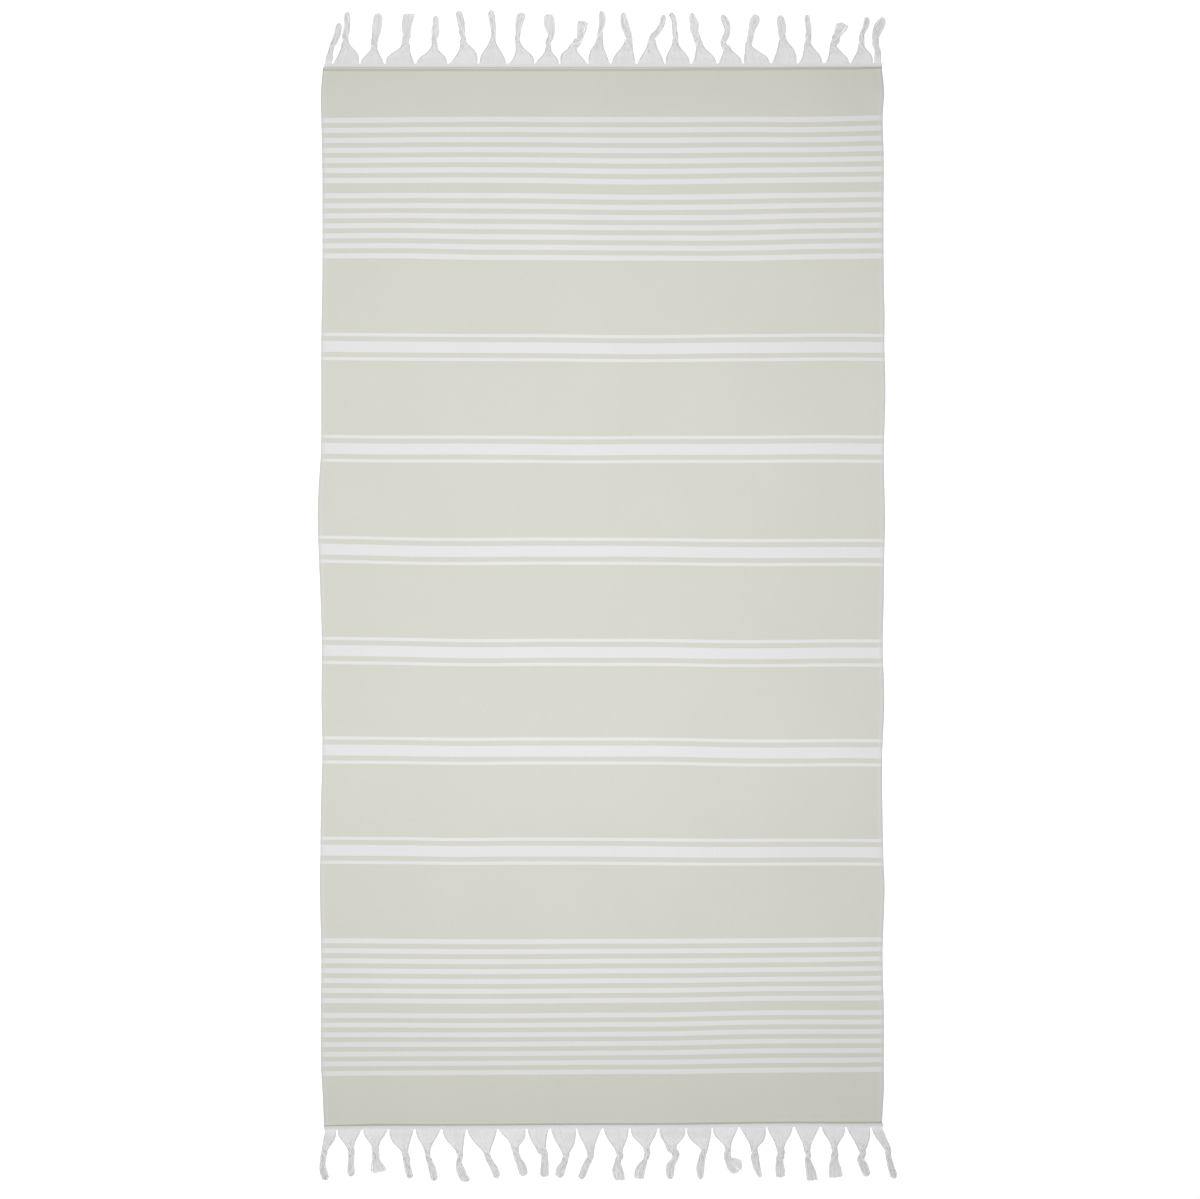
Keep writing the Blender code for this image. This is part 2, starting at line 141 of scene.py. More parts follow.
LOOSENING = 12.0  # over how far past the knot's end the yarns part in the brush
WAVER_LENGTHS = (15, 28)  # the shortest and the longest wave of a yarn in the brush
FLAT_WIDTHS = (13.0, 21.0)  # from which width on a brush lies flatter, and from which wholly flat
TIP_WIDTHS = (11.0, 18.0)  # up to which width a tip counts as narrow, and from which as wide
TIP_ROUNDING = 1.2  # how far the outer yarns of a wide tip stop short, and how much more at a narrow one
NARROW_ROUNDING = 3.0
UNEVEN_ENDS = 1.6  # how far the shortest yarns stop before the others

# The yarns that bind the knots
WRAP_SLANT = 20.0  # how far along the knot one runs
WRAP_ROUND = 0.75  # how far round it one goes, in turns
WRAP_STEP = 2.66  # from one to the next, in radii of the yarn
WRAP_DIVE = 0.6  # how far its ends dive towards the middle, and over how much of its length
DIVE_SHARE = 0.2
WRAP_SUNK = (0.9, 0.4)  # how deep it lies in the knot at its sides and on top, in radii of the yarn

# The maps for baking: how much of its map the cloth fills, and the rows in which yarns stand on theirs
BAKE_SHARE = 0.996
STRIP_MARGIN = 5.0  # in millimetres past each end of a strip
BAKE_ROWS = 3
BAKE_GAPS = (0.1, 0.06)  # the room beside a yarn and at its ends, out of its place on the map
PLY_SHIFT = 0.0137  # how far the ply of each yarn is shifted from the last one's, in metres

# The cotton, with the grain of its noises in repeats to the metre across and along
WARP_GRAIN = (900.0, 45.0)
WEFT_GRAIN = (40.0, 850.0)
CLOUD_GRAIN = (9.0, 6.0)
CLOTH_MOTTLE = 0.035  # how much each noise darkens or lightens the cloth
WARP_SHOWS = 0.06  # how much of the white warp shows through the weft, and how much that varies
WARP_VARIES = 0.05
SELVAGE_WHITE = 0.42  # how white the lighter line is, and of how bright a white
SELVAGE_TONE = 0.91
WEAVE_RELIEF = 0.16  # the height of the weave, out of the distance from yarn to yarn
FUZZ_GRAIN = 900.0
YARN_MOTTLE = 0.08  # how much the fuzz and the plies lighten the yarn, and how bright it is without
YARN_TONE = 0.94
PLY_RELIEF = 0.00012  # in metres

# The stage, in metres
FLOOR_HALF = 25.0
FLOOR_DROP = 0.0002
LAMP_SIZE = (1.95, 3.1)
LAMP_PLACE = (-0.13, 0.07, 1.4)
CAMERA_SHIFT = (-0.0035, -0.0056)
SENSOR_WIDTH = 36.0  # in millimetres

# Where the cloth's sides stand beyond (+) or inside (-) the straight sides, and how far each weft line
# rises towards +Y at its two ends, from the upper end of the cloth to the lower one
Weft = namedtuple("Weft", "y left_out right_out left_rise right_rise")
WEFT_LINES = (
    Weft(846.4, -2.8, -2.2, 0.0, 0.8),
    Weft(804.0, 0.3, 1.1, -0.6, 2.0),
    Weft(765.0, -0.1, -0.8, -1.2, 3.0),
    Weft(700.0, -1.5, 0.8, 0.2, 3.2),
    Weft(586.0, -2.0, 0.6, 1.8, 3.2),
    Weft(490.0, -1.7, 1.2, 3.4, 1.8),
    Weft(450.0, -0.8, 2.4, 3.0, 1.0),
    Weft(400.0, 0.0, 2.0, 2.4, 0.4),
    Weft(330.0, -0.2, 3.3, 2.0, 1.0),
    Weft(226.0, 0.6, 1.1, 2.5, 0.3),
    Weft(178.0, 3.6, 1.9, 2.9, -0.8),
    Weft(125.0, 5.4, 2.8, 3.2, -1.8),
    Weft(58.0, 3.6, 1.5, 3.5, -2.3),
    Weft(-8.0, 1.1, 0.8, 3.4, -2.0),
    Weft(-80.0, -1.0, -0.7, 3.2, -1.2),
    Weft(-165.0, -0.4, 1.8, 2.7, -2.0),
    Weft(-253.0, -1.8, -1.5, 1.9, -3.0),
    Weft(-337.0, 0.5, -1.2, 1.6, -3.0),
    Weft(-427.0, 1.5, 0.5, 1.8, -1.6),
    Weft(-470.0, 1.9, 2.0, 1.6, 0.4),
    Weft(-580.0, -0.2, -0.9, 0.6, 3.6),
    Weft(-676.0, 0.8, 1.0, -0.8, 4.3),
    Weft(-753.0, 0.1, 0.8, -3.0, 4.2),
    Weft(-791.0, -2.2, 1.1, -3.0, 3.5),
    Weft(-846.4, -4.5, -2.0, -2.4, 2.4),
)

# How far in from the cloth's end the darker line of each hem begins: (place across, distance in)
UPPER_HEM = (
    (-450, 2.4), (-370, 2.8), (-270, 2.3), (-200, 2.9), (-110, 2.4), (0, 3.0),
    (60, 2.8), (145, 1.8), (240, 1.8), (340, 1.2), (410, 1.2), (450, -0.2),
)
LOWER_HEM = ((-450, -2.0), (-400, -0.8), (-369, 0.5), (-330, -0.5), (-270, -0.9), (-100, -0.5), (450, -0.5))

# Round hills, each with its middle, how far its foot reaches in x and y, and its height
Hill = namedtuple("Hill", "x y reach_x reach_y lift")

# Where the cloth lifts a little off the surface, mostly along its sides
SWELLS = (
    Hill(452.0, 806.0, 46.0, 34.0, 3.4),
    Hill(-452.0, 804.0, 44.0, 32.0, 2.0),
    Hill(-457.0, 128.0, 70.0, 120.0, 2.2),
    Hill(-451.0, 345.0, 60.0, 90.0, 1.3),
    Hill(-452.0, -500.0, 60.0, 130.0, 1.8),
    Hill(454.0, 325.0, 70.0, 100.0, 2.0),
    Hill(452.0, 105.0, 60.0, 80.0, 1.4),
    Hill(452.0, -464.0, 66.0, 90.0, 1.7),
    Hill(451.0, -690.0, 50.0, 80.0, 1.2),
    Hill(160.0, 300.0, 90.0, 110.0, 1.0),
    Hill(176.0, -170.0, 90.0, 130.0, 1.0),
    Hill(-210.0, 560.0, 150.0, 90.0, 0.8),
    Hill(-150.0, -560.0, 170.0, 100.0, 0.8),
)

# How far stretches of weft lie towards +Y from the lines of WEFT_LINES, as hills
DRIFTS = (
    Hill(-210.0, 690.0, 230.0, 150.0, 1.4),
    Hill(-330.0, 560.0, 140.0, 110.0, 1.6),
    Hill(80.0, 620.0, 190.0, 150.0, -1.5),
    Hill(210.0, 560.0, 140.0, 110.0, -1.6),
    Hill(330.0, 750.0, 120.0, 80.0, -1.3),
    Hill(60.0, 400.0, 170.0, 90.0, -1.5),
    Hill(360.0, 400.0, 110.0, 110.0, 1.0),
    Hill(-360.0, 235.0, 150.0, 80.0, -1.0),
    Hill(-30.0, 235.0, 110.0, 70.0, -0.9),
    Hill(340.0, 235.0, 110.0, 70.0, 0.9),
    Hill(-260.0, 60.0, 170.0, 110.0, -1.6),
    Hill(220.0, 70.0, 200.0, 100.0, -1.7),
    Hill(230.0, -90.0, 170.0, 110.0, -2.0),
    Hill(-210.0, -100.0, 140.0, 90.0, -1.4),
    Hill(250.0, -250.0, 170.0, 110.0, -2.2),
    Hill(-230.0, -250.0, 120.0, 70.0, -1.0),
    Hill(-230.0, -400.0, 100.0, 80.0, -1.0),
    Hill(180.0, -410.0, 220.0, 90.0, -1.5),
    Hill(-200.0, -610.0, 260.0, 110.0, -1.4),
    Hill(-180.0, -720.0, 280.0, 100.0, -1.1),
    Hill(260.0, -690.0, 190.0, 120.0, 2.3),
    Hill(270.0, -846.0, 170.0, 60.0, 1.4),
    Hill(-190.0, -846.0, 150.0, 60.0, -0.7),
)

# Painted light and shade: where the cloth is a little darker (-) or lighter (+), as hills in shares of its
# colour
# It is darker towards both ends, where the light falls off, and on the swell at the upper right, and lighter
# a little below the middle
PAINTED_LIGHT_HILLS = (
    Hill(0.0, 850.0, 1400.0, 190.0, -0.048),
    Hill(430.0, 800.0, 130.0, 150.0, -0.035),
    Hill(0.0, -250.0, 900.0, 210.0, 0.022),
    Hill(0.0, -860.0, 1400.0, 270.0, -0.065),
)

# Faint creases along the warp, left by a packing fold: long and very narrow hills
CREASES = (
    Hill(157.0, 304.0, 3.2, 40.0, 0.30),
    Hill(177.0, -167.0, 3.4, 46.0, 0.32),
    Hill(177.0, -490.0, 3.2, 50.0, 0.30),
    Hill(307.0, 347.0, 3.0, 32.0, 0.24),
)

# White stripes in the sage weft, from the upper end: the middle of the first, the step to the next, how
# many there are and how wide each is
Stripes = namedtuple("Stripes", "first step count width")
FINE_STRIPES = (
    Stripes(762.5, -16.36, 7, 8.5),
    Stripes(639.7, -16.33, 7, 8.3),
    Stripes(-552.7, -15.77, 7, 7.9),
    Stripes(-670.8, -15.13, 7, 7.7),
)

# The broad stripes, each between two thin ones: their middles, the widths, and from middle to middle
BROAD_MIDDLES = (397.3, 234.7, 71.7, -90.1, -248.3, -408.5)
BROAD_WIDTH = 17.4
THIN_WIDTH = 5.2
THIN_APART = 19.2

# One row for each tassel, left to right: the stretch of edge it is gathered from, how domed its fan is on
# its left and right (1 is straight, less is hollow), and the line from the neck through the tail to the
# tip, each point as the place across, the distance out from the cloth's end, and the width there. Three
# more where they differ from the usual: how bell-shaped the fan is (0 to 1), how far the outer yarns stop
# short of the tip, and how much further out the tip is at its right than in its middle
Tassel = namedtuple(
    "Tassel",
    "root_from root_to left_dome right_dome line bell stop_short slant",
    defaults=(0.5, None, 0.0),
)
UPPER_TASSELS = (
    Tassel(
        -443.5, -433, 2.0, 0.6,
        ((-434.5, 25, 9), (-429, 40, 11), (-424, 52, 12), (-421, 68.5, 10)), 1.0,
    ),
    Tassel(
        -430, -389, 0.7, 2.3,
        ((-411, 37, 14), (-410.5, 49, 12), (-408.5, 64, 12), (-408, 86.5, 10)), 1.0,
    ),
    Tassel(
        -388, -350, 1.2, 1.0,
        ((-365, 28, 12.5), (-364, 44, 12.5), (-361, 60, 16), (-359, 77, 16), (-358, 84, 13)),
    ),
    Tassel(
        -346, -300, 1.5, 0.6,
        ((-314.8, 35, 14.5), (-316, 42, 12.8), (-312.5, 52, 15), (-312.5, 65, 17), (-309.3, 84, 20.5)),
        1.0, slant=2.4,
    ),
    Tassel(
        -298, -248, 1.3, 1.8,
        ((-269.5, 29, 13), (-268, 43, 11), (-267, 56, 15), (-266.5, 70, 11), (-266.5, 80, 10)),
    ),
    Tassel(
        -245.5, -200, 0.5, 2.2,
        ((-222.5, 41, 11), (-223.5, 54, 10.5), (-225, 68, 12.5), (-230, 88, 12)), 1.0,
    ),
    Tassel(
        -196.5, -154, 1.45, 1.15,
        ((-175.5, 41, 11), (-173.5, 57, 9.5), (-176, 75, 11.5), (-178, 89, 11)),
    ),
    Tassel(
        -150, -108, 0.4, 1.65,
        ((-133, 34, 12), (-135.5, 41, 9.5), (-134.5, 55, 9.5), (-132.5, 72, 14), (-128.5, 85, 14)), 1.0,
    ),
    Tassel(
        -107, -69, 0.85, 1.2,
        (
            (-86.5, 28, 11), (-86.5, 39, 10.5), (-81.5, 51, 11.5),
            (-84, 65, 17.5), (-85.5, 75, 19), (-85.5, 83, 15),
        ),
        1.0,
    ),
    Tassel(
        -67, -24.5, 3.0, 0.8,
        (
            (-47.5, 31, 14), (-41, 38, 16), (-36, 45, 12),
            (-34.5, 53, 13), (-33, 60, 16.5), (-31, 72, 17.5),
        ),
        1.0,
    ),
    Tassel(
        -22, 12, 1.8, 0.7,
        ((-4, 44, 11.5), (-4, 51, 12), (-2, 60, 9), (0, 77, 12.5), (-1.5, 88, 9.5)), 1.0,
    ),
    Tassel(
        15.5, 53, 1.3, 0.8,
        ((41.5, 38, 14.5), (42, 49, 11.5), (39, 60, 14.5), (36.5, 69, 15), (33.5, 85, 10)),
    ),
    Tassel(
        57, 99, 0.95, 1.05,
        ((79.5, 37, 15), (79.5, 45, 12.5), (84, 52.5, 11), (93.5, 64, 10.5), (98.5, 81.5, 10)),
    ),
    Tassel(
        101.5, 140, 1.5, 1.2,
        ((117, 38, 12), (117, 49, 10), (115.5, 60, 10), (115, 72, 10), (110.5, 85, 11)), 1.0,
    ),
    Tassel(
        144, 182.5, 0.45, 1.5,
        (
            (156.5, 33, 13.5), (151.5, 46, 13), (147.5, 58, 14),
            (147.5, 69, 16), (144, 79, 11), (143.5, 84.5, 8.5),
        ),
    ),
    Tassel(
        186, 223.5, 0.7, 1.7,
        (
            (200.7, 27, 14.5), (195.3, 32, 11.3), (194.5, 41, 11), (198.2, 50, 12),
            (201, 60, 10.8), (198, 71, 13.8), (192.5, 81.5, 10),
        ),
        0.3,
    ),
    Tassel(
        227.5, 268, 1.5, 1.6,
        (
            (235, 32, 13.5), (236, 42, 11), (238.5, 53, 11.5),
            (240, 63, 13.5), (244.5, 75, 18), (246, 82, 12.5),
        ),
    ),
    Tassel(271.5, 311.5, 0.65, 2.3, ((289, 42, 13.5), (287.5, 51, 12.5), (287, 64, 15.5), (285, 80.5, 12))),
    Tassel(313, 352.5, 0.4, 1.45, ((329, 36, 12), (329.5, 47, 11.5), (330.5, 57, 11.5), (327.5, 81, 10))),
    Tassel(
        356, 397, 0.4, 1.2,
        ((369.5, 34, 11), (372.7, 42, 16), (377, 51, 15), (380, 59, 19), (384, 65, 20.5), (386, 69, 19.5)),
        slant=4.5,
    ),
    Tassel(
        397.5, 433.5, 0.8, 2.1,
        ((415, 31, 12), (415, 41, 9.5), (416, 53, 9), (421.5, 64, 10), (424, 77.5, 10)),
    ),
    Tassel(
        435.5, 447, 1.0, 1.0,
        (
            (441, 23, 10.5), (437.5, 37, 12), (437.5, 49, 12.5),
            (441.5, 61, 17), (446, 69, 16.5), (448.5, 77, 11),
        ),
    ),
)
LOWER_TASSELS = (
    Tassel(
        -444, -425.5, 1.0, 2.1,
        ((-443.5, 37, 10.5), (-446.5, 51, 11), (-447.5, 62, 11), (-445.5, 74, 13), (-442, 84, 13)),
    ),
    Tassel(
        -424, -385, 1.55, 0.7,
        ((-403, 34, 12.5), (-400.5, 43, 12.5), (-402, 58, 11), (-401.5, 78.5, 12.5)),
    ),
    Tassel(
        -382.5, -342.5, 1.5, 0.85,
        ((-363, 32, 13), (-362.5, 51, 14), (-361, 62, 20), (-358.5, 70, 26.5), (-358, 73.5, 25.5)),
        slant=2.0,
    ),
    Tassel(
        -341, -301.5, 2.05, 0.85,
        ((-316, 41, 11.5), (-313.5, 51, 12.5), (-312.5, 62, 12), (-307, 82.5, 12)),
    ),
    Tassel(
        -298.5, -258, 1.4, 0.85,
        ((-279.5, 39, 10.5), (-278.5, 50, 9), (-275, 60, 11), (-270.5, 75, 13), (-268.5, 86.5, 12)),
    ),
    Tassel(
        -255.5, -217.5, 1.8, 0.75,
        ((-228.5, 40, 12), (-228, 50, 10.5), (-229, 61, 11), (-225.5, 75, 15.5), (-218, 88.5, 14)),
        0.2, slant=2.5,
    ),
    Tassel(
        -217, -167, 1.4, 1.05,
        ((-184.5, 44, 10.5), (-181.5, 54, 11), (-172, 71, 12.5), (-168, 82.5, 13)), 0.1,
    ),
    Tassel(
        -166.5, -123, 0.8, 2.2,
        ((-139.5, 35, 13.5), (-138, 44, 11.5), (-134, 56, 12), (-127.5, 69, 15.5), (-126, 79.5, 14)), 1.0,
    ),
    Tassel(
        -119.5, -83.5, 1.5, 0.35,
        ((-98, 37, 17), (-92.2, 43, 12), (-92.3, 54, 12.6), (-92, 64, 13.6), (-92.5, 81, 15)), 0.0,
    ),
    Tassel(
        -82.5, -41.5, 1.4, 2.8,
        ((-58, 44, 12.5), (-58.5, 53, 11), (-61.5, 62, 12), (-66.5, 72, 15.5), (-68.5, 82.5, 13.5)), 0.1,
    ),
    Tassel(-40.5, -0.5, 1.1, 0.65, ((-18.5, 44, 11.5), (-19.5, 52, 11), (-26, 65, 12.5), (-34, 84.5, 12))),
    Tassel(
        2.5, 42, 1.3, 1.4,
        ((27, 42, 12), (28.5, 49, 12.5), (25, 59, 11.5), (25, 73, 19), (28.8, 87, 17)), slant=1.5,
    ),
    Tassel(
        46.5, 89, 1.9, 1.1,
        ((71, 36, 11), (72, 45, 10.5), (69, 56, 9), (62, 69, 17), (59, 78, 18), (59.5, 84.5, 17)),
    ),
    Tassel(
        91.5, 133.5, 1.6, 1.8,
        (
            (110.5, 34, 18.5), (116, 43, 14), (118, 51, 12), (113, 59.5, 10.5),
            (109, 67, 15.5), (108.3, 77, 14), (109.5, 85, 12),
        ),
        1.0,
    ),
    Tassel(
        135.5, 175.5, 2.1, 1.3,
        ((163.5, 38, 13), (162, 46, 11.5), (158, 60, 13), (157, 74, 13), (157.5, 85, 10)),
    ),
    Tassel(
        177, 218, 1.6, 0.7,
        (
            (201.5, 36, 10.5), (200, 45, 12.8), (201, 53, 12),
            (205, 59.5, 19), (212.5, 66, 26.5), (220.5, 71.5, 24),
        ),
        0.8, 9.0,
    ),
    Tassel(
        220.5, 262.5, 0.85, 2.8,
        ((243, 37, 12), (244.5, 46, 12.5), (245, 56, 14.5), (248, 70, 12), (252.5, 82.5, 8)),
    ),
    Tassel(
        263.5, 305, 0.95, 1.1,
        ((285, 37, 13.5), (286, 46, 13), (284, 61, 14), (285, 76, 17), (285, 83, 15.5)),
    ),
    Tassel(
        309, 348, 0.85, 0.75,
        ((328, 41, 10.5), (330, 50, 10), (329.5, 60, 12), (334, 77, 17), (336.5, 88.5, 18)), slant=1.2,
    ),
    Tassel(
        351, 389, 1.05, 1.7,
        ((371.5, 36, 10.5), (373, 45, 11.5), (371.5, 57, 13.5), (372.5, 73, 21), (374, 84, 22.5)),
    ),
    Tassel(
        390.5, 429.5, 0.95, 2.8,
        ((416, 41, 13), (416, 49, 12), (414.5, 58, 14), (419.5, 70, 15.5), (424, 82, 13.5)), 0.2,
    ),
    Tassel(430.5, 448.5, 1.4, 1.05, ((455.5, 38, 12), (458, 47, 11), (460, 62, 11), (467.5, 86, 12)), 0.0),
)

# How the two fringes lie: the cloth's end in Y, which way is out, their tassels, how bright the strip is
# against the hem, the painted shade that darkens the yarn in the fans and in the tails, and the seed of their
# random draws
Fringe = namedtuple("Fringe", "node name end_y outward tassels strip_shade fan_tone tail_tone seed")
FRINGES = (
    Fringe("fringe_upper_end", "upper", HALF_LENGTH, 1, UPPER_TASSELS, 0.90, 0.925, 0.985, 11),
    Fringe("fringe_lower_end", "lower", -HALF_LENGTH, -1, LOWER_TASSELS, 0.84, 0.955, 0.945, 23),
)


def smooth_step(t):
    """0 up to 0, 1 from 1 on, and 3t^2 - 2t^3 between."""
    t = np.clip(t, 0.0, 1.0)
    return t * t * (3 - 2 * t)


def weft_values(column, y):
    """A column of WEFT_LINES at the places y: a cubic through its rows, sloped as their neighbours lie."""
    row_y = np.array([row.y for row in WEFT_LINES])
    value = np.array([getattr(row, column) for row in WEFT_LINES])
    rows = np.arange(len(row_y))
    before, after = np.maximum(rows - 1, 0), np.minimum(rows + 1, len(rows) - 1)
    slope = (value[after] - value[before]) / (row_y[after] - row_y[before])
    span = np.clip(np.searchsorted(-row_y, -np.asarray(y, float)) - 1, 0, len(rows) - 2)
    reach = row_y[span + 1] - row_y[span]
    t = (y - row_y[span]) / reach
    return (
        (2 * t**3 - 3 * t**2 + 1) * value[span]
        + (t**3 - 2 * t**2 + t) * reach * slope[span]
        + (3 * t**2 - 2 * t**3) * value[span + 1]
        + (t**3 - t**2) * reach * slope[span + 1]
    )


def bowed_places(across, along):
    """Places of points given as in the straight rectangle: the sides stand in or out and the wefts bow."""
    on_left = across < 0
    out = np.where(on_left, weft_values("left_out", along), weft_values("right_out", along))
    rise = np.where(on_left, weft_values("left_rise", along), weft_values("right_rise", along))
    return across * (1 + out / HALF_WIDTH), along + rise * (across / HALF_WIDTH) ** 2


def cloth_places(across, along):
    """The bowed places with the drift of the wefts added."""
    x, y = bowed_places(across, along)
    return x, y + hills(DRIFTS, across, along)


def hills(rows, x, y):
    """The sum of round hills, each lift * (1 - far^2)^2, where far is 1 at the hill's oval foot."""
    lift = np.zeros(np.broadcast(x, y).shape)
    for row in rows:
        far = ((x - row.x) / row.reach_x) ** 2 + ((y - row.y) / row.reach_y) ** 2
        lift += row.lift * np.clip(1 - far, 0, None) ** 2
    return lift


def middle_of_cloth():
    """Where the tables' zero lies in the frame, in metres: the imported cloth's box against the tables'."""
    along = np.linspace(-HALF_LENGTH, HALF_LENGTH, 600)
    left, right = cloth_places(-HALF_WIDTH, along), cloth_places(HALF_WIDTH, along)
    low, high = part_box("towel_cloth")
    middle_x = (low.x + high.x) / 2 - (left[0].min() + right[0].max()) / 2 * MM
    middle_y = (low.y + high.y) / 2 - (left[1].min() + right[1].max()) / 2 * MM
    return np.array([middle_x, middle_y, 0.0])


def end_bow(fringe, x, places=cloth_places):
    """How far out the cloth's end lies at x, because its last weft line bows."""
    return fringe.outward * (places(np.asarray(x, float), fringe.end_y)[1] - fringe.end_y)


# Meshes


def mesh_piece(name, points, faces, maps, material):
    """A piece from points in metres, one array of faces for each count of corners, and its maps.

    A map has a place for each face corner. Faces are shaded smooth, but for the edges of the second array
    of faces, the caps.
    """
    mesh = bpy.data.meshes.new(name)
    corners = np.concatenate([f.ravel() for f in faces]).astype(np.int32)
    sides = np.concatenate([np.full(len(f), f.shape[1]) for f in faces])
    mesh.vertices.add(len(points))
    mesh.vertices.foreach_set("co", np.ascontiguousarray(points, np.float32).ravel())
    mesh.loops.add(len(corners))
    mesh.loops.foreach_set("vertex_index", corners)
    mesh.polygons.add(len(sides))
    starts = np.concatenate([[0], np.cumsum(sides)[:-1]])
    mesh.polygons.foreach_set("loop_start", starts.astype(np.int32))
    mesh.update(calc_edges=True)
    if mesh.validate():
        raise RuntimeError(f"{name}: the faces were not valid")
    for map_name, places in maps.items():
        layer = mesh.uv_layers.new(name=map_name, do_init=False)
        layer.uv.foreach_set("vector", np.ascontiguousarray(places, np.float32).ravel())
    mesh.shade_smooth()
    if len(faces) > 1:
        in_cap = np.zeros(len(points), bool)
        in_cap[faces[1]] = True
        ends = np.empty(2 * len(mesh.edges), np.int32)
        mesh.edges.foreach_get("vertices", ends)
        mesh.edges.foreach_set("use_edge_sharp", in_cap[ends.reshape(-1, 2)].all(axis=1))
    mesh.materials.append(material)
    piece = bpy.data.objects.new(name, mesh)
    bpy.context.scene.collection.objects.link(piece)
    return piece


def grid_faces(rows, columns):
    """Quads of a grid of points stored row by row, turned to face +Z where columns run +X and rows +Y."""
    index = np.arange(rows * columns).reshape(rows, columns)
    a, b = index[:-1, :-1], index[:-1, 1:]
    c, d = index[1:, 1:], index[1:, :-1]
    return np.stack([a, b, c, d], axis=-1).reshape(-1, 4)


def point_attribute(piece, name, values):
    """Lets the piece hold a value at each of its points, under this name."""
    attribute = piece.data.attributes.new(name, "FLOAT", "POINT")
    attribute.data.foreach_set("value", np.ascontiguousarray(values, np.float32).ravel())


Sweep = namedtuple("Sweep", "points quads caps path along around")
CAP_LEAN = 0.0012  # how far a cap's corners are spread along its path on a map


def sweep(rings):
    """Closed sections carried along paths, from rings[path, step, corner] of points.

    Quads join each ring to the next, and caps close the first and the last. For every face corner there are
    also the path's number, how far along it the corner is, and how far round the section, from 0 to 1.
    """
    count, length, size, _ = rings.shape
    index = np.arange(count * length * size).reshape(count, length, size)
    turned = np.roll(index, -1, axis=2)
    quads = np.stack([index[:, :-1], index[:, 1:], turned[:, 1:], turned[:, :-1]], axis=-1).reshape(-1, 4)
    caps = np.concatenate([index[:, 0], index[:, -1, ::-1]])
    steps = np.linalg.norm(np.diff(rings.mean(axis=2), axis=1), axis=2)
    far = np.concatenate([np.zeros((count, 1)), np.cumsum(steps, axis=1)], axis=1)
    path, step, corner = np.unravel_index(np.concatenate([quads.ravel(), caps.ravel()]), index.shape)
    around = corner / size
    first_corner = np.unravel_index(quads[:, 0], index.shape)[2]
    around[: quads.size] = ((first_corner[:, None] + (0, 0, 1, 1)) / size).ravel()
    along = far[path, step]
    along[quads.size :] += CAP_LEAN * np.sin(2 * np.pi * around[quads.size :])
    return Sweep(rings.reshape(-1, 3), quads, caps, path, along, around)


def joined(sweeps):
    """Several sweeps as one: the points in a row, and the faces and paths counted on."""
    points, quads, caps, paths = [], [], [], []
    along, around = [], []
    start = 0
    first_path = 0
    for part in sweeps:
        points.append(part.points)
        quads.append(part.quads + start)
        caps.append(part.caps + start)
        paths.append(np.split(part.path + first_path, [part.quads.size]))
        along.append(np.split(part.along, [part.quads.size]))
        around.append(np.split(part.around, [part.quads.size]))
        start += len(part.points)
        first_path += part.path.max() + 1
    corner_values = [
        np.concatenate([pair[0] for pair in pairs] + [pair[1] for pair in pairs])
        for pairs in (paths, along, around)
    ]
    return Sweep(np.concatenate(points), np.concatenate(quads), np.concatenate(caps), *corner_values)


def tube_rings(paths, radii, reference):
    """Round sections square to many paths at once, from paths[path, step] in space and radii[path, step].

    A section's corner is the path's point plus radius * (cos a * side + sin a * up), where side is square
    to the path and to the reference direction, and up is square to both.
    """
    run = np.gradient(paths, axis=1)
    run /= np.linalg.norm(run, axis=2, keepdims=True)
    side = np.cross(run, np.broadcast_to(reference, paths.shape))
    side /= np.linalg.norm(side, axis=2, keepdims=True)
    up = np.cross(side, run)
    angle = np.arange(YARN_SIDES)[:, None] / YARN_SIDES * 2 * np.pi
    ring = np.cos(angle) * side[:, :, None, :] + np.sin(angle) * up[:, :, None, :]
    return paths[:, :, None, :] + radii[:, :, None, None] * ring


# The cloth


def stripe_bands():
    """(middle, width) of every white stripe, from the upper end of the cloth to the lower."""
    bands = [(run.first + i * run.step, run.width) for run in FINE_STRIPES for i in range(run.count)]
    for middle in BROAD_MIDDLES:
        bands += [
            (middle + THIN_APART, THIN_WIDTH),
            (middle, BROAD_WIDTH),
            (middle - THIN_APART, THIN_WIDTH),
        ]
    return np.array(sorted(bands, reverse=True))


def white_share(along):
    """1 on a white stripe and 0 on sage, going from one to the other over twice STRIPE_EDGE."""
    middle, width = stripe_bands().T
    inside = width[:, None] / 2 - np.abs(along[None, :] - middle[:, None])
    return np.clip(0.5 + inside / (2 * STRIPE_EDGE), 0, 1).max(axis=0)


def filled(lines, step):
    """The lines given, and even ones between them wherever two are further apart than the step."""
    lines = np.sort(lines)
    counts = np.ceil(np.diff(lines) / step - 1e-6).astype(int)
    stretches = [
        np.linspace(start, end, count, endpoint=False)
        for start, end, count in zip(lines, lines[1:], counts)
    ]
    return np.concatenate(stretches + [lines[-1:]])


def both_edges(half, distances):
    """Lines at these distances in from both edges of a length twice the half."""
    inward = np.array(distances)
    return np.concatenate([-half + inward, half - inward])


def undulation(x, y):
    """The sum of the crossing waves, each the sine of a slanting line, brought to between 0 and 1."""
    total = sum(np.sin(across * x + along * y + phase) for across, along, phase in WAVES)
    return (total + len(WAVES)) / (2 * len(WAVES))


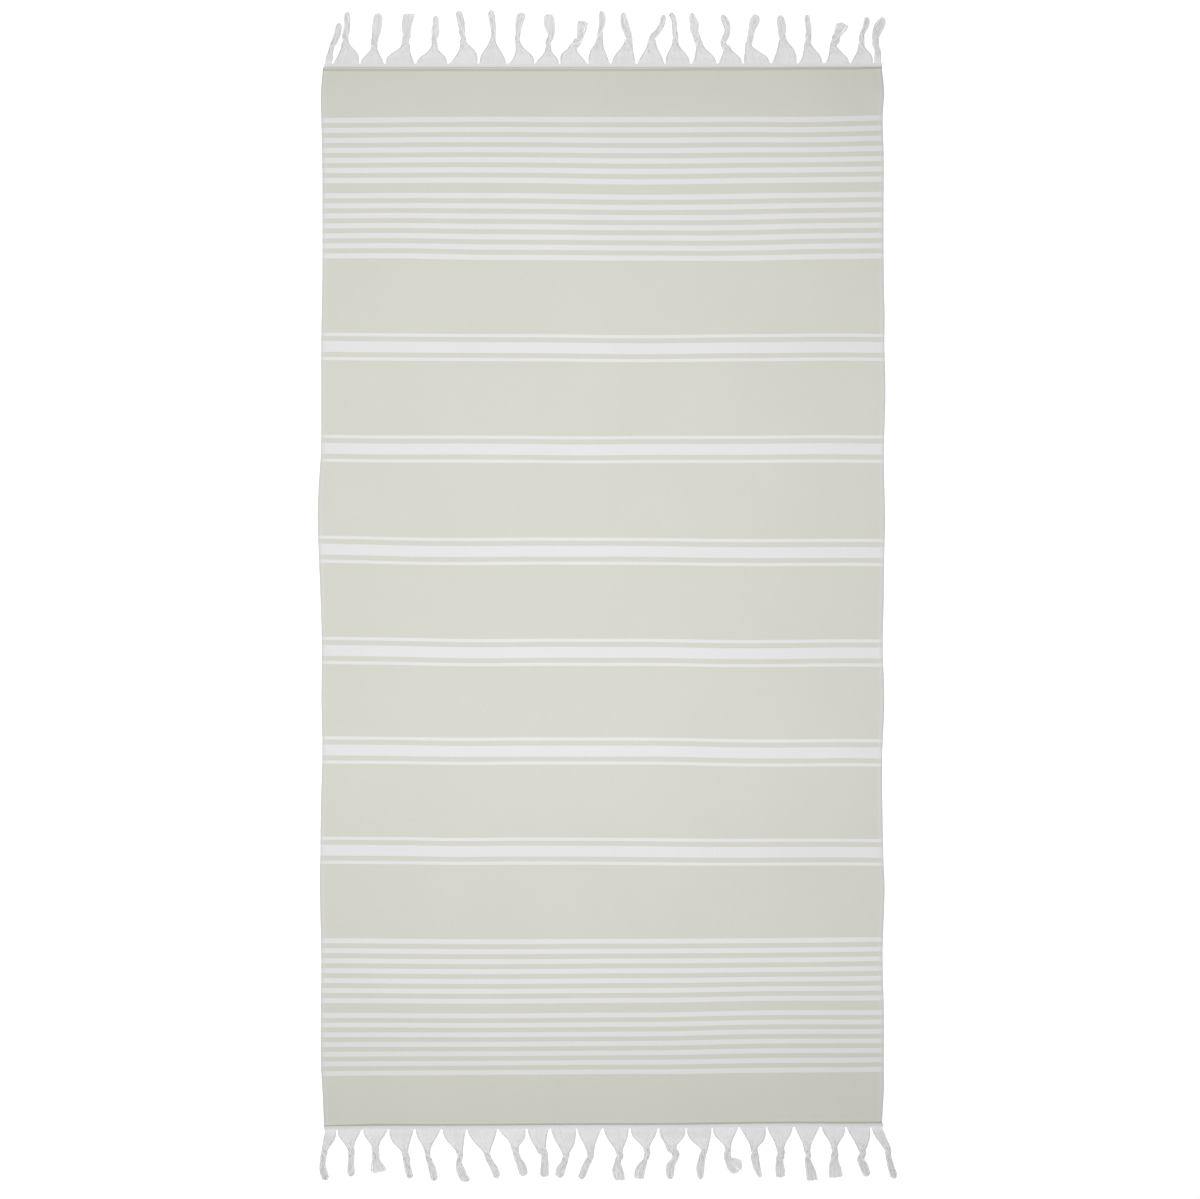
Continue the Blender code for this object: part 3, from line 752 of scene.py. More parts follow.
def make_cloth(settings, material):
    """The sheet as two grids of the same lines, joined at the rim.

    The underside is the laid cloth's lift: swells, creases and a slight unevenness. The top adds a
    thickness that follows the section at the sides and ends, so the selvages and hems are raised and round.
    """
    columns = filled(both_edges(HALF_WIDTH, SIDE_LINES), STEP_ACROSS)
    middle, width = stripe_bands().T
    stripe_lines = (middle[:, None] + np.outer(width / 2, (-1, 1))).ravel()
    stripe_lines = np.concatenate([stripe_lines - STRIPE_EDGE, stripe_lines + STRIPE_EDGE])
    rows = filled(np.concatenate([both_edges(HALF_LENGTH, END_LINES), stripe_lines]), STEP_ALONG)
    across, along = np.meshgrid(columns, rows)
    x, y = cloth_places(across, along)
    from_side, from_end = HALF_WIDTH - np.abs(across), HALF_LENGTH - np.abs(along)
    lift = hills(SWELLS, x, y) + hills(CREASES, x, y) + settings.unevenness / MM * undulation(x, y)
    rim = np.clip(1 - np.minimum(from_side, from_end) / RIM_REACH, 0, 1)
    at_side = np.interp(from_side, *zip(*SIDE_SECTION))
    at_end = np.interp(from_end, *zip(*END_SECTION))
    most = np.minimum(at_side, at_end) + CORNER_EXTRA
    thickness = np.minimum(at_side + at_end - CLOTH_THICKNESS, most)
    under = np.stack([x, y, lift + RIM_LIFT * rim**2], axis=-1)
    top = np.stack([x, y, lift + np.maximum(thickness, THINNEST)], axis=-1)
    count = len(rows) * len(columns)
    points = np.concatenate([under.reshape(-1, 3), top.reshape(-1, 3)]) * MM + middle_of_cloth()

    quads = grid_faces(len(rows), len(columns))
    index = np.arange(count).reshape(len(rows), len(columns))
    edge = np.concatenate([index[0, :-1], index[:-1, -1], index[-1, :0:-1], index[:0:-1, 0]])
    following = np.roll(edge, -1)
    rim_quads = np.stack([edge, following, following + count, edge + count], axis=-1)
    faces = [np.concatenate([quads + count, quads[:, ::-1], rim_quads])]
    place = np.stack([across, along], axis=-1).reshape(-1, 2)
    place = np.concatenate([place, place])
    corners = faces[0].ravel()
    weave_map = place[corners] * MM
    bake_map = place[corners] / (CLOTH_WIDTH, CLOTH_LENGTH) * BAKE_SHARE + 0.5
    piece = mesh_piece("towel_weave", points, faces, {"weave": weave_map, "OFBake": bake_map}, material)

    white = np.broadcast_to(white_share(rows)[:, None], across.shape)
    side = 1 - smooth_step((from_side - settings.selvage_width / MM) / SELVAGE_FADE)
    upper_start, lower_start = (np.interp(across, *zip(*hem)) for hem in (UPPER_HEM, LOWER_HEM))
    hem_start = np.where(along > 0, upper_start, lower_start)
    half_line = settings.hem_line / MM / 2
    in_hem = half_line - np.abs(from_end - hem_start - half_line)
    end = smooth_step(0.5 + in_hem / HEM_FADE)
    # The tone is painted light and shade: the hills of it, and a painted shade along the very edge, where the
    # cloth turns down
    tone = 1 + hills(PAINTED_LIGHT_HILLS, across, along)
    tone -= SELVAGE_SHADE * (1 - smooth_step((from_side - SHADE_REACH) / SHADE_REACH))
    shares = {"white_share": white, "selvage_share": side, "hem_share": end, "tone": tone}
    for name, values in shares.items():
        point_attribute(piece, name, np.concatenate([values.ravel(), values.ravel()]))
    return piece


# The fringes


def make_strip(fringe, material):
    """The dense picks past the cloth's end: a ribbed section carried along the bowed end.

    The section runs under the strip and back over its top, whose height rises and falls as the absolute
    sine, once for each pick.
    """
    first = fringe.tassels[0].root_from - STRIP_END
    last = fringe.tassels[-1].root_to + STRIP_END
    x = np.linspace(first, last, round((last - first) / STRIP_STEP) + 1)
    over = np.linspace(1, 0, 6 * STRIP_PICKS + 1)
    rib = 1 - RIB_DEPTH + RIB_DEPTH * np.abs(np.sin(np.pi * STRIP_PICKS * over))
    risen = smooth_step(np.minimum(over, 1 - over) / STRIP_SLOPE)
    out = np.concatenate([[0.0, 1.0], over])
    height = STRIP_THICKNESS * (STRIP_EDGE + (1 - STRIP_EDGE) * risen * rib)
    z = np.concatenate([[0.0, 0.0], height])
    if fringe.outward > 0:
        out, z = out[::-1], z[::-1]
    reach = end_bow(fringe, x)[:, None] - STRIP_TUCK + (STRIP_OUTER + STRIP_TUCK) * out
    places = [np.broadcast_to(x[:, None], reach.shape), reach, np.broadcast_to(z, reach.shape)]
    strip = sweep(in_frame(fringe, np.stack(places, axis=-1))[None])
    corners = np.concatenate([strip.quads.ravel(), strip.caps.ravel()])
    bake_length = last - first + 2 * STRIP_MARGIN
    share = np.stack([(strip.along + STRIP_MARGIN * MM) / bake_length / MM, strip.around], axis=-1)
    maps = {"yarn": np.stack([strip.around * 2, strip.points[corners, 0]], axis=-1), "OFBake": share}
    piece = mesh_piece(f"strip_{fringe.name}", strip.points, [strip.quads, strip.caps], maps, material)
    from_hem = (reach - end_bow(fringe, x)[:, None]) / STRIP_SHADE_REACH
    shade = fringe.strip_shade + (1 - fringe.strip_shade) * smooth_step(from_hem)
    point_attribute(piece, "shade", fringe.fan_tone * shade)
    return piece


def in_frame(fringe, places):
    """Places given as (across, out from the cloth's end, height) in millimetres, in metres in the frame."""
    placed = places * (1.0, fringe.outward, 1.0) + (0.0, fringe.end_y, 0.0)
    return placed * MM + middle_of_cloth()


def disc_across(order):
    """Places across a disc of radius 1 for shares of its area: the area up to a place, read backwards."""
    a = np.linspace(-1, 1, 401)
    area = 0.5 + (a * np.sqrt(1 - a**2) + np.arcsin(a)) / np.pi
    return np.interp(order, area, a)


def evened(a):
    """Across places in a disc, moved outward so that they lie as densely at its sides as in its middle."""
    a = np.clip(a, -1, 1)
    return 2 / np.pi * (a * np.sqrt(1 - a**2) + np.arcsin(a))


def strand_places(a, b):
    """Where yarns of a round bundle lie once it is parted into round strands, and how deep in a groove.

    Each strand takes a sector. The distance from the middle becomes the way across its strand, and the turn
    from the sector's own middle the way round it. Yarns near the sector's sides end in the grooves.
    """
    angle = np.arctan2(b, a)
    sector = 2 * np.pi / STRANDS
    middle = (np.floor(angle / sector) + 0.5) * sector
    across = disc_across(np.clip(a**2 + b**2, 0, 1))
    round_share = (angle - middle) / (sector / 2)
    beside = round_share * np.sqrt(1 - across**2)
    out = STRAND_OUT + STRAND_RADIUS * across
    strand_a = out * np.cos(middle) - STRAND_RADIUS * beside * np.sin(middle)
    strand_b = out * np.sin(middle) + STRAND_RADIUS * beside * np.cos(middle)
    return strand_a, strand_b, np.abs(round_share)


def lock_heights(width):
    """The height of a lock of yarn that lies on the surface: its section over its width, within limits."""
    return np.clip(YARN_SECTION / width, STRIP_THICKNESS, KNOT_HEIGHT)


def root_ranges(tassels):
    """Where each tassel's outer yarns leave the cloth: its own stretch and a share of the gaps beside."""
    ends = np.array([(tassel.root_from, tassel.root_to) for tassel in tassels], float)
    share = GAP_SHARE * (ends[1:, 0] - ends[:-1, 1])
    ends[1:, 0] -= share
    ends[:-1, 1] += share
    return ends


def tail_line(tassel, root_out):
    """The line of a tassel from its neck on, as a function of the length along it, and its whole length.

    It is the smooth cubic through the table's points, each span shaped by the points before and after it.
    The function gives the place across, the distance out, the width, and the direction (across, out).
    """
    root = ((tassel.root_from + tassel.root_to) / 2, root_out, tassel.line[0][2])
    past_tip = [2 * last - before for last, before in zip(tassel.line[-1], tassel.line[-2])]
    knots = np.array([root, *tassel.line, past_tip], float)
    spans = len(tassel.line) - 1

    def at(u):
        span = np.clip(np.floor(u).astype(int), 0, spans - 1)
        t = (u - span)[..., None]
        before, start, end, after = (knots[span + i] for i in range(4))
        bend = 2 * before - 5 * start + 4 * end - after
        twist = 3 * start - before - 3 * end + after
        value = start + 0.5 * ((end - before) * t + bend * t**2 + twist * t**3)
        slope = 0.5 * ((end - before) + 2 * bend * t + 3 * twist * t**2)
        return value, slope

    # The line is measured a little past its last point, because the longest yarns pass it
    u_dense = np.linspace(0, spans + 0.3, 60 * spans)
    value, _ = at(u_dense)
    steps = np.linalg.norm(np.diff(value[:, :2], axis=0), axis=1)
    far = np.concatenate([[0], np.cumsum(steps)])

    def along(s):
        value, slope = at(np.interp(s, far, u_dense))
        run = slope[..., :2] / np.linalg.norm(slope[..., :2], axis=-1, keepdims=True)
        return value[..., 0], value[..., 1], value[..., 2], run[..., 0], run[..., 1]

    return along, float(np.interp(spans, u_dense, far))


def fan_paths(tassel, roots, root_out, order, a, b, radius):
    """The yarns of a fan from the cloth to the neck, as [yarn, step] of (across, out, height), and shades.

    They leave the cloth side by side. The fan's sides close as t to the power of the dome, which the bell
    blends with the smooth step of that power. On the way the outer yarns bunch into a round rim along each
    side, and at the neck all take their places in the bundle. The yarns in a line of the rim are the
    darkest, and those between the rims keep their full brightness.
    """
    neck_x, neck_out, neck_width = tassel.line[0]
    t = 1 - (1 - np.linspace(0, 1, FAN_POINTS)) ** FAN_CROWDING
    left_closed, right_closed = t**tassel.left_dome, t**tassel.right_dome
    left_closed += tassel.bell * (smooth_step(left_closed) - left_closed)
    right_closed += tassel.bell * (smooth_step(right_closed) - right_closed)
    left = roots[0] + (neck_x - neck_width / 2 - roots[0]) * left_closed
    right = roots[1] + (neck_x + neck_width / 2 - roots[1]) * right_closed
    width = right - left
    height = lock_heights(width)
    inner_width = width - 2 * radius
    order, a, b = order[:, None], a[:, None], b[:, None]

    spread_x = left + radius + inner_width * order
    spread_z = np.full_like(spread_x, STRIP_THICKNESS * 0.5)
    from_side = np.minimum(order, 1 - order)
    in_rim = from_side < RIM_SHARE
    rim_angle = 2 * np.pi * from_side / RIM_SHARE * RIM_TURNS
    rim_in = RIM_RADIUS - (RIM_RADIUS - radius) * np.cos(rim_angle)
    rim_x = np.where(order < 0.5, left + rim_in, right - rim_in)
    middle_share = (order - RIM_SHARE) / (1 - 2 * RIM_SHARE)
    middle_x = left + RIM_RADIUS + (width - 2 * RIM_RADIUS) * middle_share
    bunched_x = np.where(in_rim, rim_x, middle_x)
    rim_z = RIM_RADIUS + (RIM_RADIUS - radius) * np.sin(rim_angle)
    middle_z = radius + (0.5 + 0.5 * b) * np.maximum(height - 2 * radius, LEAST_ROOM) * MIDDLE_FILL
    bunched_z = np.where(in_rim, rim_z, middle_z)
    bundle_x = (left + right) / 2 + a * (width / 2 - radius)
    bundle_z = height / 2 + b * (height / 2 - radius)

    leaving = 1 - smooth_step(t / RIM_FORMED)
    gathered = smooth_step((t - RIM_FORMED) / (1 - RIM_FORMED))
    bunched = 1 - leaving - gathered
    x = leaving * spread_x + bunched * bunched_x + gathered * bundle_x
    z = leaving * spread_z + bunched * bunched_z + gathered * bundle_z
    out = np.broadcast_to(root_out + (neck_out - root_out) * t, x.shape)
    from_line = (from_side - RIM_LINE_PLACE * RIM_SHARE) / (RIM_LINE_WIDTH * RIM_SHARE)
    at_rim = RIM_SHADE_EVEN * in_rim + RIM_SHADE_LINE * np.exp(-(from_line**2))
    shade = 1 - RIM_SHADE * at_rim * smooth_step(t / RIM_SHADE_FROM)
    return np.stack([x, out, z], axis=-1), shade


def tail_paths(tassel, along, length, a, b, radius, settings, rng):
    """The yarns of a tail from the neck to the tip, as [yarn, step] of (across, out, height), and shades.

    A yarn keeps its place (a, b) in a round bundle that is stretched to the lock's width and height.
    Through the knot the bundle turns, parted into strands. In the brush below, the yarns waver and part
    a little. They end on a curve: short by the rounding times the square of the place across, and
    slanted.
    """
    count = len(a)
    knot_end = settings.knot_length / MM
    rounding = tassel.stop_short
    if rounding is None:
        narrow, wide = TIP_WIDTHS
        widened = smooth_step((tassel.line[-1][2] - narrow) / (wide - narrow))
        rounding = TIP_ROUNDING + NARROW_ROUNDING * (1 - widened)
    uneven = UNEVEN_ENDS * rng.random(count) ** 2
    turns = rng.choice((-1, 1)) * settings.knot_turns * rng.uniform(*TURNS_VARY)
    tip_a = a * np.cos(2 * np.pi * turns) - b * np.sin(2 * np.pi * turns)
    ends = length + settings.tip_reach / MM - rounding * tip_a**2 + tassel.slant * tip_a - uneven
    knot_s = knot_end * np.arange(1, KNOT_POINTS + 1) / KNOT_POINTS
    brush_share = np.arange(1, BRUSH_POINTS + 1) / BRUSH_POINTS
    brush_s = knot_end + (ends - knot_end)[:, None] * brush_share
    s = np.concatenate([np.broadcast_to(knot_s, (count, KNOT_POINTS)), brush_s], axis=1)
    x, out, width, run_x, run_out = along(s)
    height = lock_heights(width)

    strand_a, strand_b, in_groove = strand_places(a, b)
    joins_at, joins_over = STRANDS_JOIN
    parted = smooth_step(s / STRANDS_PART) * (1 - smooth_step((s - knot_end - joins_at) / joins_over))
    placed_a = a[:, None] + parted * (strand_a - a)[:, None]
    placed_b = b[:, None] + parted * (strand_b - b)[:, None]
    wound = np.clip(s / (knot_end + TURNS_END), 0, 1)
    turn = 2 * np.pi * turns * wound * (2 - wound)
    turned_a = placed_a * np.cos(turn) - placed_b * np.sin(turn)
    turned_b = placed_a * np.sin(turn) + placed_b * np.cos(turn)

    loose = smooth_step((s - knot_end) / LOOSENING)
    beat = 2 * np.pi * (s / rng.uniform(*WAVER_LENGTHS, (count, 1)) + rng.random((count, 1)))
    waver = settings.waver / MM * loose
    flat_from, flat_to = FLAT_WIDTHS
    flat = smooth_step((width - flat_from) / (flat_to - flat_from)) * loose
    spread_a = turned_a + flat * (evened(turned_a) - turned_a)
    sideways = spread_a * (width / 2 - radius) + waver * np.sin(beat)
    z = height / 2 + turned_b * (height / 2 - radius) + 0.5 * waver * np.cos(1.3 * beat)
    shade = 1 - GROOVE_SHADE * parted * smooth_step(2 * in_groove[:, None] - 1)
    return np.stack([x + run_out * sideways, out - run_x * sideways, z], axis=-1), shade


def wrap_rings(fringe, along, settings, rng):
    """The yarns that bind the knot: each goes over the oval bundle from side to side, slanting along it.

    The angle and the place along the bundle grow evenly, and the ends dive into the bundle.
    """
    radius = settings.yarn_diameter / MM / 2
    slant = WRAP_SLANT * rng.choice((-1, 1))
    lane = np.linspace(-0.5, 0.5, settings.wrap_yarns)[:, None]
    phase = np.linspace(0, 1, WRAP_POINTS)
    theta = 2 * np.pi * WRAP_ROUND * (phase - 0.5) + np.pi / 2
    lanes = (settings.wrap_yarns - 1) * WRAP_STEP * radius
    s = settings.wrap_place / MM + lane * lanes + slant * (phase - 0.5)
    x, out, width, run_x, run_out = along(np.maximum(s, 0.0))
    height = lock_heights(width)
    dive = 1 - WRAP_DIVE * (1 - smooth_step(np.minimum(phase, 1 - phase) / DIVE_SHARE))
    sunk_side, sunk_top = WRAP_SUNK
    sideways = (width / 2 - sunk_side * radius) * dive * np.cos(theta)
    z = np.maximum(height / 2 + (height / 2 - sunk_top * radius) * dive * np.sin(theta), radius)
    paths = np.stack([x + run_out * sideways, out - run_x * sideways, z], axis=-1)
    reference = np.stack([run_x, fringe.outward * run_out, np.zeros_like(run_x)], axis=-1)
    return tube_rings(in_frame(fringe, paths), np.full(paths.shape[:2], radius * MM), reference)


def tassel_sweeps(fringe, tassel, roots, settings, rng):
    """The yarns of one tassel, from inside the strip to their cut ends, and those that bind its knot."""
    radius = settings.yarn_diameter / MM / 2
    widest = max(width for _, _, width in tassel.line)
    step = settings.yarn_step / MM
    count = max(round((roots[1] - roots[0]) / step), FEWEST_YARNS, round(2 * widest / step))

    # The yarns reach the neck nearly in the order in which they leave the cloth, each at its own height
    order = (np.arange(count) + 0.5) / count
    reached = (np.argsort(np.argsort(order + CROSSING * rng.standard_normal(count))) + 0.5) / count
    a = disc_across(reached)
    a /= np.abs(a).max()
    b = np.sqrt(1 - a**2) * (2 * ((np.arange(count) * GOLDEN + rng.random()) % 1) - 1)

    # The tables give distances out from the end as it bows without its drift, and the strip follows both
    root_x = (tassel.root_from + tassel.root_to) / 2
    line_bow = float(end_bow(fringe, root_x, bowed_places))
    tassel = tassel._replace(line=[(x, out + line_bow, width) for x, out, width in tassel.line])
    bow = float(end_bow(fringe, root_x))
    along, length = tail_line(tassel, bow + STRIP_OUTER)

    fan, fan_shade = fan_paths(tassel, roots, bow + STRIP_OUTER - FAN_TUCK, order, a, b, radius)
    tail, tail_shade = tail_paths(tassel, along, length, a, b, radius, settings, rng)
    inside = fan[:, :1] + ROOT_INSIDE
    paths = np.concatenate([inside, fan, tail], axis=1)
    # Each fringe's painted shade darkens its fans and its tails
    fan_shade, tail_shade = fringe.fan_tone * fan_shade, fringe.tail_tone * tail_shade
    shade = np.concatenate([fan_shade[:, :1], fan_shade, tail_shade], axis=1)

    # Each point is eased towards its neighbours, and no yarn sinks into the surface it lies on
    paths[:, 2:-1] = 0.25 * paths[:, 1:-2] + 0.5 * paths[:, 2:-1] + 0.25 * paths[:, 3:]
    radii = radius * rng.uniform(*YARN_VARIES, (count, 1)) * np.ones(paths.shape[:2])
    radii[:, 2:FAN_POINTS] *= FAN_THICKER
    paths[:, 1:, 2] = np.maximum(paths[:, 1:, 2], radii[:, 1:])
    yarns = tube_rings(in_frame(fringe, paths), radii * MM, (0.0, 0.0, 1.0))
    wraps = wrap_rings(fringe, along, settings, rng)
    shades = [np.repeat(shade.ravel(), YARN_SIDES), np.full(wraps.size // 3, fringe.tail_tone)]
    return [sweep(yarns), sweep(wraps)], shades


def make_tassels(fringe, chosen, side, settings, material, rng):
    """The chosen tassels of a fringe as one piece, a tube for each yarn.

    On the baking map the yarns stand side by side in a few rows, each in a strip of its own.
    """
    roots = root_ranges(fringe.tassels)
    sweeps, shades = [], []
    for i in chosen:
        tubes, tube_shades = tassel_sweeps(fringe, fringe.tassels[i], roots[i], settings, rng)
        sweeps += tubes
        shades += tube_shades
    yarns = joined(sweeps)
    columns = yarns.path.max() // BAKE_ROWS + 1
    longest = yarns.along.max()
    beside, before = BAKE_GAPS
    u = (yarns.path // BAKE_ROWS + beside + (1 - 2 * beside) * yarns.around) / columns
    v = (yarns.path % BAKE_ROWS + before + (1 - 2 * before) * yarns.along / longest) / BAKE_ROWS
    maps = {
        "yarn": np.stack([yarns.around, yarns.along + PLY_SHIFT * yarns.path], axis=-1),
        "OFBake": np.stack([u, v], axis=-1),
    }
    name = f"tassels_{fringe.name}_{side}"
    piece = mesh_piece(name, yarns.points, [yarns.quads, yarns.caps], maps, material)
    point_attribute(piece, "shade", np.concatenate(shades))
    return piece


# Materials


def new_material(name):
    """A node material with only its surface shader, and that shader."""
    material = bpy.data.materials.new(name)
    material.use_nodes = True
    return material, material.node_tree, material.node_tree.nodes["Principled BSDF"]


def add_node(tree, kind, inputs=(), **settings):
    """A node with its settings, and its inputs by name or number: a socket is linked, a value is set."""
    node = tree.nodes.new(kind)
    for key, value in settings.items():
        setattr(node, key, value)
    for key, value in dict(inputs).items():
        if isinstance(value, bpy.types.NodeSocket):
            tree.links.new(value, node.inputs[key])
        else:
            node.inputs[key].default_value = value
    return node


def math(tree, operation, *inputs):
    """The result of one sum on sockets or numbers."""
    return add_node(tree, "ShaderNodeMath", dict(enumerate(inputs)), operation=operation).outputs[0]


def point_value(tree, name):
    """The value that a piece holds at its points under this name."""
    return add_node(tree, "ShaderNodeAttribute", attribute_name=name).outputs["Fac"]


def blend_colour(tree, share, first, second):
    """The colour that goes from the first to the second as the share goes from 0 to 1."""
    mix = add_node(tree, "ShaderNodeMix", {0: share, 6: first, 7: second}, data_type="RGBA")
    return mix.outputs[2]


def toned_colour(tree, colour, tone):
    """The colour times a tone, where 1 leaves it as it is."""
    grey = add_node(tree, "ShaderNodeCombineColor", {0: tone, 1: tone, 2: tone}).outputs[0]
    inputs = {0: 1.0, 6: colour, 7: grey}
    return add_node(tree, "ShaderNodeMix", inputs, data_type="RGBA", blend_type="MULTIPLY").outputs[2]


def colour4(colour, factor=1.0):
    """The colour times the factor, with a full alpha."""
    return (*(c * factor for c in colour), 1.0)


def raised(tree, shader, height, strength, distance):
    """Lets the shader show a height as relief, of this distance for each unit of height."""
    inputs = {"Strength": strength, "Distance": distance, "Height": height}
    bump = add_node(tree, "ShaderNodeBump", inputs)
    tree.links.new(bump.outputs[0], shader.inputs["Normal"])


def stretched_noise(tree, place, grain, detail=2.0):
    """Soft noise about 0.5, with its grain across and along the cloth in repeats to the metre."""
    mapping = add_node(tree, "ShaderNodeMapping", {"Vector": place, "Scale": (*grain, 1.0)})
    noise = add_node(
        tree,
        "ShaderNodeTexNoise",
        {"Vector": mapping.outputs[0], "Scale": 1.0, "Detail": detail, "Roughness": 0.5},
        noise_dimensions="2D",
    )
    return noise.outputs["Fac"]


def weave_material(settings):
    """Flat-woven cotton: white warp crossed by sage and white weft.

    The over-and-under of a plain weave is the product of two sines across and along the cloth. It lifts the
    surface, and lets some of the white warp through the sage. Slubs are noise drawn out along the yarns.
    """
    material, tree, shader = new_material("sage_weave")
    place = add_node(tree, "ShaderNodeUVMap", uv_map="weave").outputs[0]
    axes = add_node(tree, "ShaderNodeSeparateXYZ", {0: place})
    pitch = np.pi / settings.yarn_pitch
    warp_wave = math(tree, "SINE", math(tree, "MULTIPLY", axes.outputs[0], pitch))
    weft_wave = math(tree, "SINE", math(tree, "MULTIPLY", axes.outputs[1], pitch))
    weave = math(tree, "MULTIPLY", warp_wave, weft_wave)
    warp_slubs = stretched_noise(tree, place, WARP_GRAIN)
    weft_slubs = stretched_noise(tree, place, WEFT_GRAIN)
    slubs = math(tree, "ADD", warp_slubs, weft_slubs)
    cloudy = stretched_noise(tree, place, CLOUD_GRAIN, detail=3.0)

    white_here = point_value(tree, "white_share")
    weft = blend_colour(tree, white_here, colour4(settings.sage), colour4(settings.white))
    warp_share = math(tree, "MULTIPLY_ADD", weave, WARP_VARIES, WARP_SHOWS)
    cloth = blend_colour(tree, warp_share, weft, colour4(settings.white))
    edge_share = math(tree, "MULTIPLY", point_value(tree, "selvage_share"), SELVAGE_WHITE)
    cloth = blend_colour(tree, edge_share, cloth, colour4(settings.white, SELVAGE_TONE))
    cloth = blend_colour(tree, point_value(tree, "hem_share"), cloth, colour4(settings.hem))
    # The three noises are 0.5 each on average, which makes the tone 1
    noises = math(tree, "ADD", slubs, cloudy)
    tone = math(tree, "MULTIPLY_ADD", noises, CLOTH_MOTTLE, 1.0 - 1.5 * CLOTH_MOTTLE)
    # The tone that the cloth holds at its points is painted light and shade, and darkens or lightens its
    # colour
    tone = math(tree, "MULTIPLY", tone, point_value(tree, "tone"))
    tree.links.new(toned_colour(tree, cloth, tone), shader.inputs["Base Color"])

    relief = math(tree, "MULTIPLY_ADD", slubs, 0.5, weave)
    raised(tree, shader, relief, 0.5, WEAVE_RELIEF * settings.yarn_pitch)
    rough = math(tree, "MULTIPLY_ADD", slubs, 0.08, 0.8)
    tree.links.new(rough, shader.inputs["Roughness"])
    shader.inputs["Specular IOR Level"].default_value = 0.25
    shader.inputs["Sheen Weight"].default_value = 0.06
    return material


def yarn_material(settings):
    """Soft white cotton yarn: two plies wound round each other, a wave that climbs as it goes round."""
    material, tree, shader = new_material("white_yarn")
    place = add_node(tree, "ShaderNodeUVMap", uv_map="yarn").outputs[0]
    axes = add_node(tree, "ShaderNodeSeparateXYZ", {0: place})
    climb = math(tree, "MULTIPLY_ADD", axes.outputs[1], 1 / settings.ply_pitch, axes.outputs[0])
    ply = math(tree, "SINE", math(tree, "MULTIPLY", climb, 4 * np.pi))
    inside = add_node(tree, "ShaderNodeTexCoord").outputs["Object"]
    fuzz_inputs = {"Vector": inside, "Scale": FUZZ_GRAIN, "Detail": 2.0}
    fuzz = add_node(tree, "ShaderNodeTexNoise", fuzz_inputs).outputs["Fac"]
    mottle = math(tree, "ADD", fuzz, math(tree, "MULTIPLY", ply, 0.3))
    tone = math(tree, "MULTIPLY_ADD", mottle, YARN_MOTTLE, YARN_TONE)
    tone = math(tree, "MULTIPLY", tone, point_value(tree, "shade"))
    toned = toned_colour(tree, colour4(settings.yarn_white), tone)
    tree.links.new(toned, shader.inputs["Base Color"])
    relief = math(tree, "MULTIPLY_ADD", fuzz, 0.6, ply)
    raised(tree, shader, relief, 0.35, PLY_RELIEF)
    shader.inputs["Roughness"].default_value = 0.85
    shader.inputs["Specular IOR Level"].default_value = 0.25
    shader.inputs["Sheen Weight"].default_value = 0.08
    return material


def floor_material(settings):
    """A matt white floor, lit a little from within so that it stays even."""
    material, _, shader = new_material("pale_floor")
    shader.inputs["Base Color"].default_value = colour4(settings.floor_colour)
    shader.inputs["Roughness"].default_value = 1.0
    shader.inputs["Specular IOR Level"].default_value = 0.0
    shader.inputs["Emission Color"].default_value = colour4(settings.floor_colour)
    shader.inputs["Emission Strength"].default_value = settings.floor_glow
    return material


# What a user can change


class TowelClothSettings(bpy.types.PropertyGroup):
    """Sizes and colours of the woven cloth"""

    unevenness: bpy.props.FloatProperty(
        name="Unevenness", description="How much the laid cloth waves", default=0.0003, unit="LENGTH"
    )
    selvage_width: bpy.props.FloatProperty(
        name="Selvage", description="Width of the lighter woven edge", default=0.0056, unit="LENGTH"
    )
    hem_line: bpy.props.FloatProperty(
        name="Hem line",
        description="Width of the darker line at each end",
        default=0.0034,
        unit="LENGTH",
    )
    yarn_pitch: bpy.props.FloatProperty(
        name="Weave",
        description="Distance from one yarn of the weave to the next",
        default=0.0008,
        unit="LENGTH",
    )
    sage: bpy.props.FloatVectorProperty(
        name="Sage",
        description="Colour of the sage weft",
        subtype="COLOR",
        default=(0.672, 0.672, 0.598),
    )
    white: bpy.props.FloatVectorProperty(
        name="White",
        description="Colour of the white weft and warp",
        subtype="COLOR",
        default=(0.80, 0.80, 0.805),
    )
    hem: bpy.props.FloatVectorProperty(
        name="Hem",
        description="Colour of the line at each end",
        subtype="COLOR",
        default=(0.545, 0.535, 0.44),
    )


class TowelFringeSettings(bpy.types.PropertyGroup):
    """Sizes and colours of the tassels"""

    yarn_diameter: bpy.props.FloatProperty(
        name="Yarn", description="Diameter of one yarn of the fringe", default=0.00108, unit="LENGTH"
    )
    yarn_step: bpy.props.FloatProperty(
        name="Step",
        description="Distance between yarns where they leave the cloth",
        default=0.00095,
        unit="LENGTH",
    )
    knot_length: bpy.props.FloatProperty(
        name="Knot length",
        description="Length of the twisted knot below the neck",
        default=0.021,
        unit="LENGTH",
    )
    knot_turns: bpy.props.FloatProperty(
        name="Knot turns",
        description="How many times the strands go round each other",
        default=0.42,
        min=0.0,
    )
    wrap_place: bpy.props.FloatProperty(
        name="Wrap",
        description="Distance from the neck to the yarns bound round it",
        default=0.009,
        unit="LENGTH",
    )
    wrap_yarns: bpy.props.IntProperty(
        name="Wrap yarns", description="How many yarns are bound round the knot", default=4, min=2
    )
    tip_reach: bpy.props.FloatProperty(
        name="Tip",
        description="How far the longest yarns pass the end of the line",
        default=0.0024,
        unit="LENGTH",
    )
    waver: bpy.props.FloatProperty(
        name="Waver",
        description="How far a yarn strays from its place in the tail",
        default=0.0003,
        unit="LENGTH",
    )
    ply_pitch: bpy.props.FloatProperty(
        name="Ply",
        description="Length over which the plies go once round",
        default=0.0034,
        unit="LENGTH",
    )
    yarn_white: bpy.props.FloatVectorProperty(
        name="White", description="Colour of the yarn", subtype="COLOR", default=(0.92, 0.92, 0.925)
    )


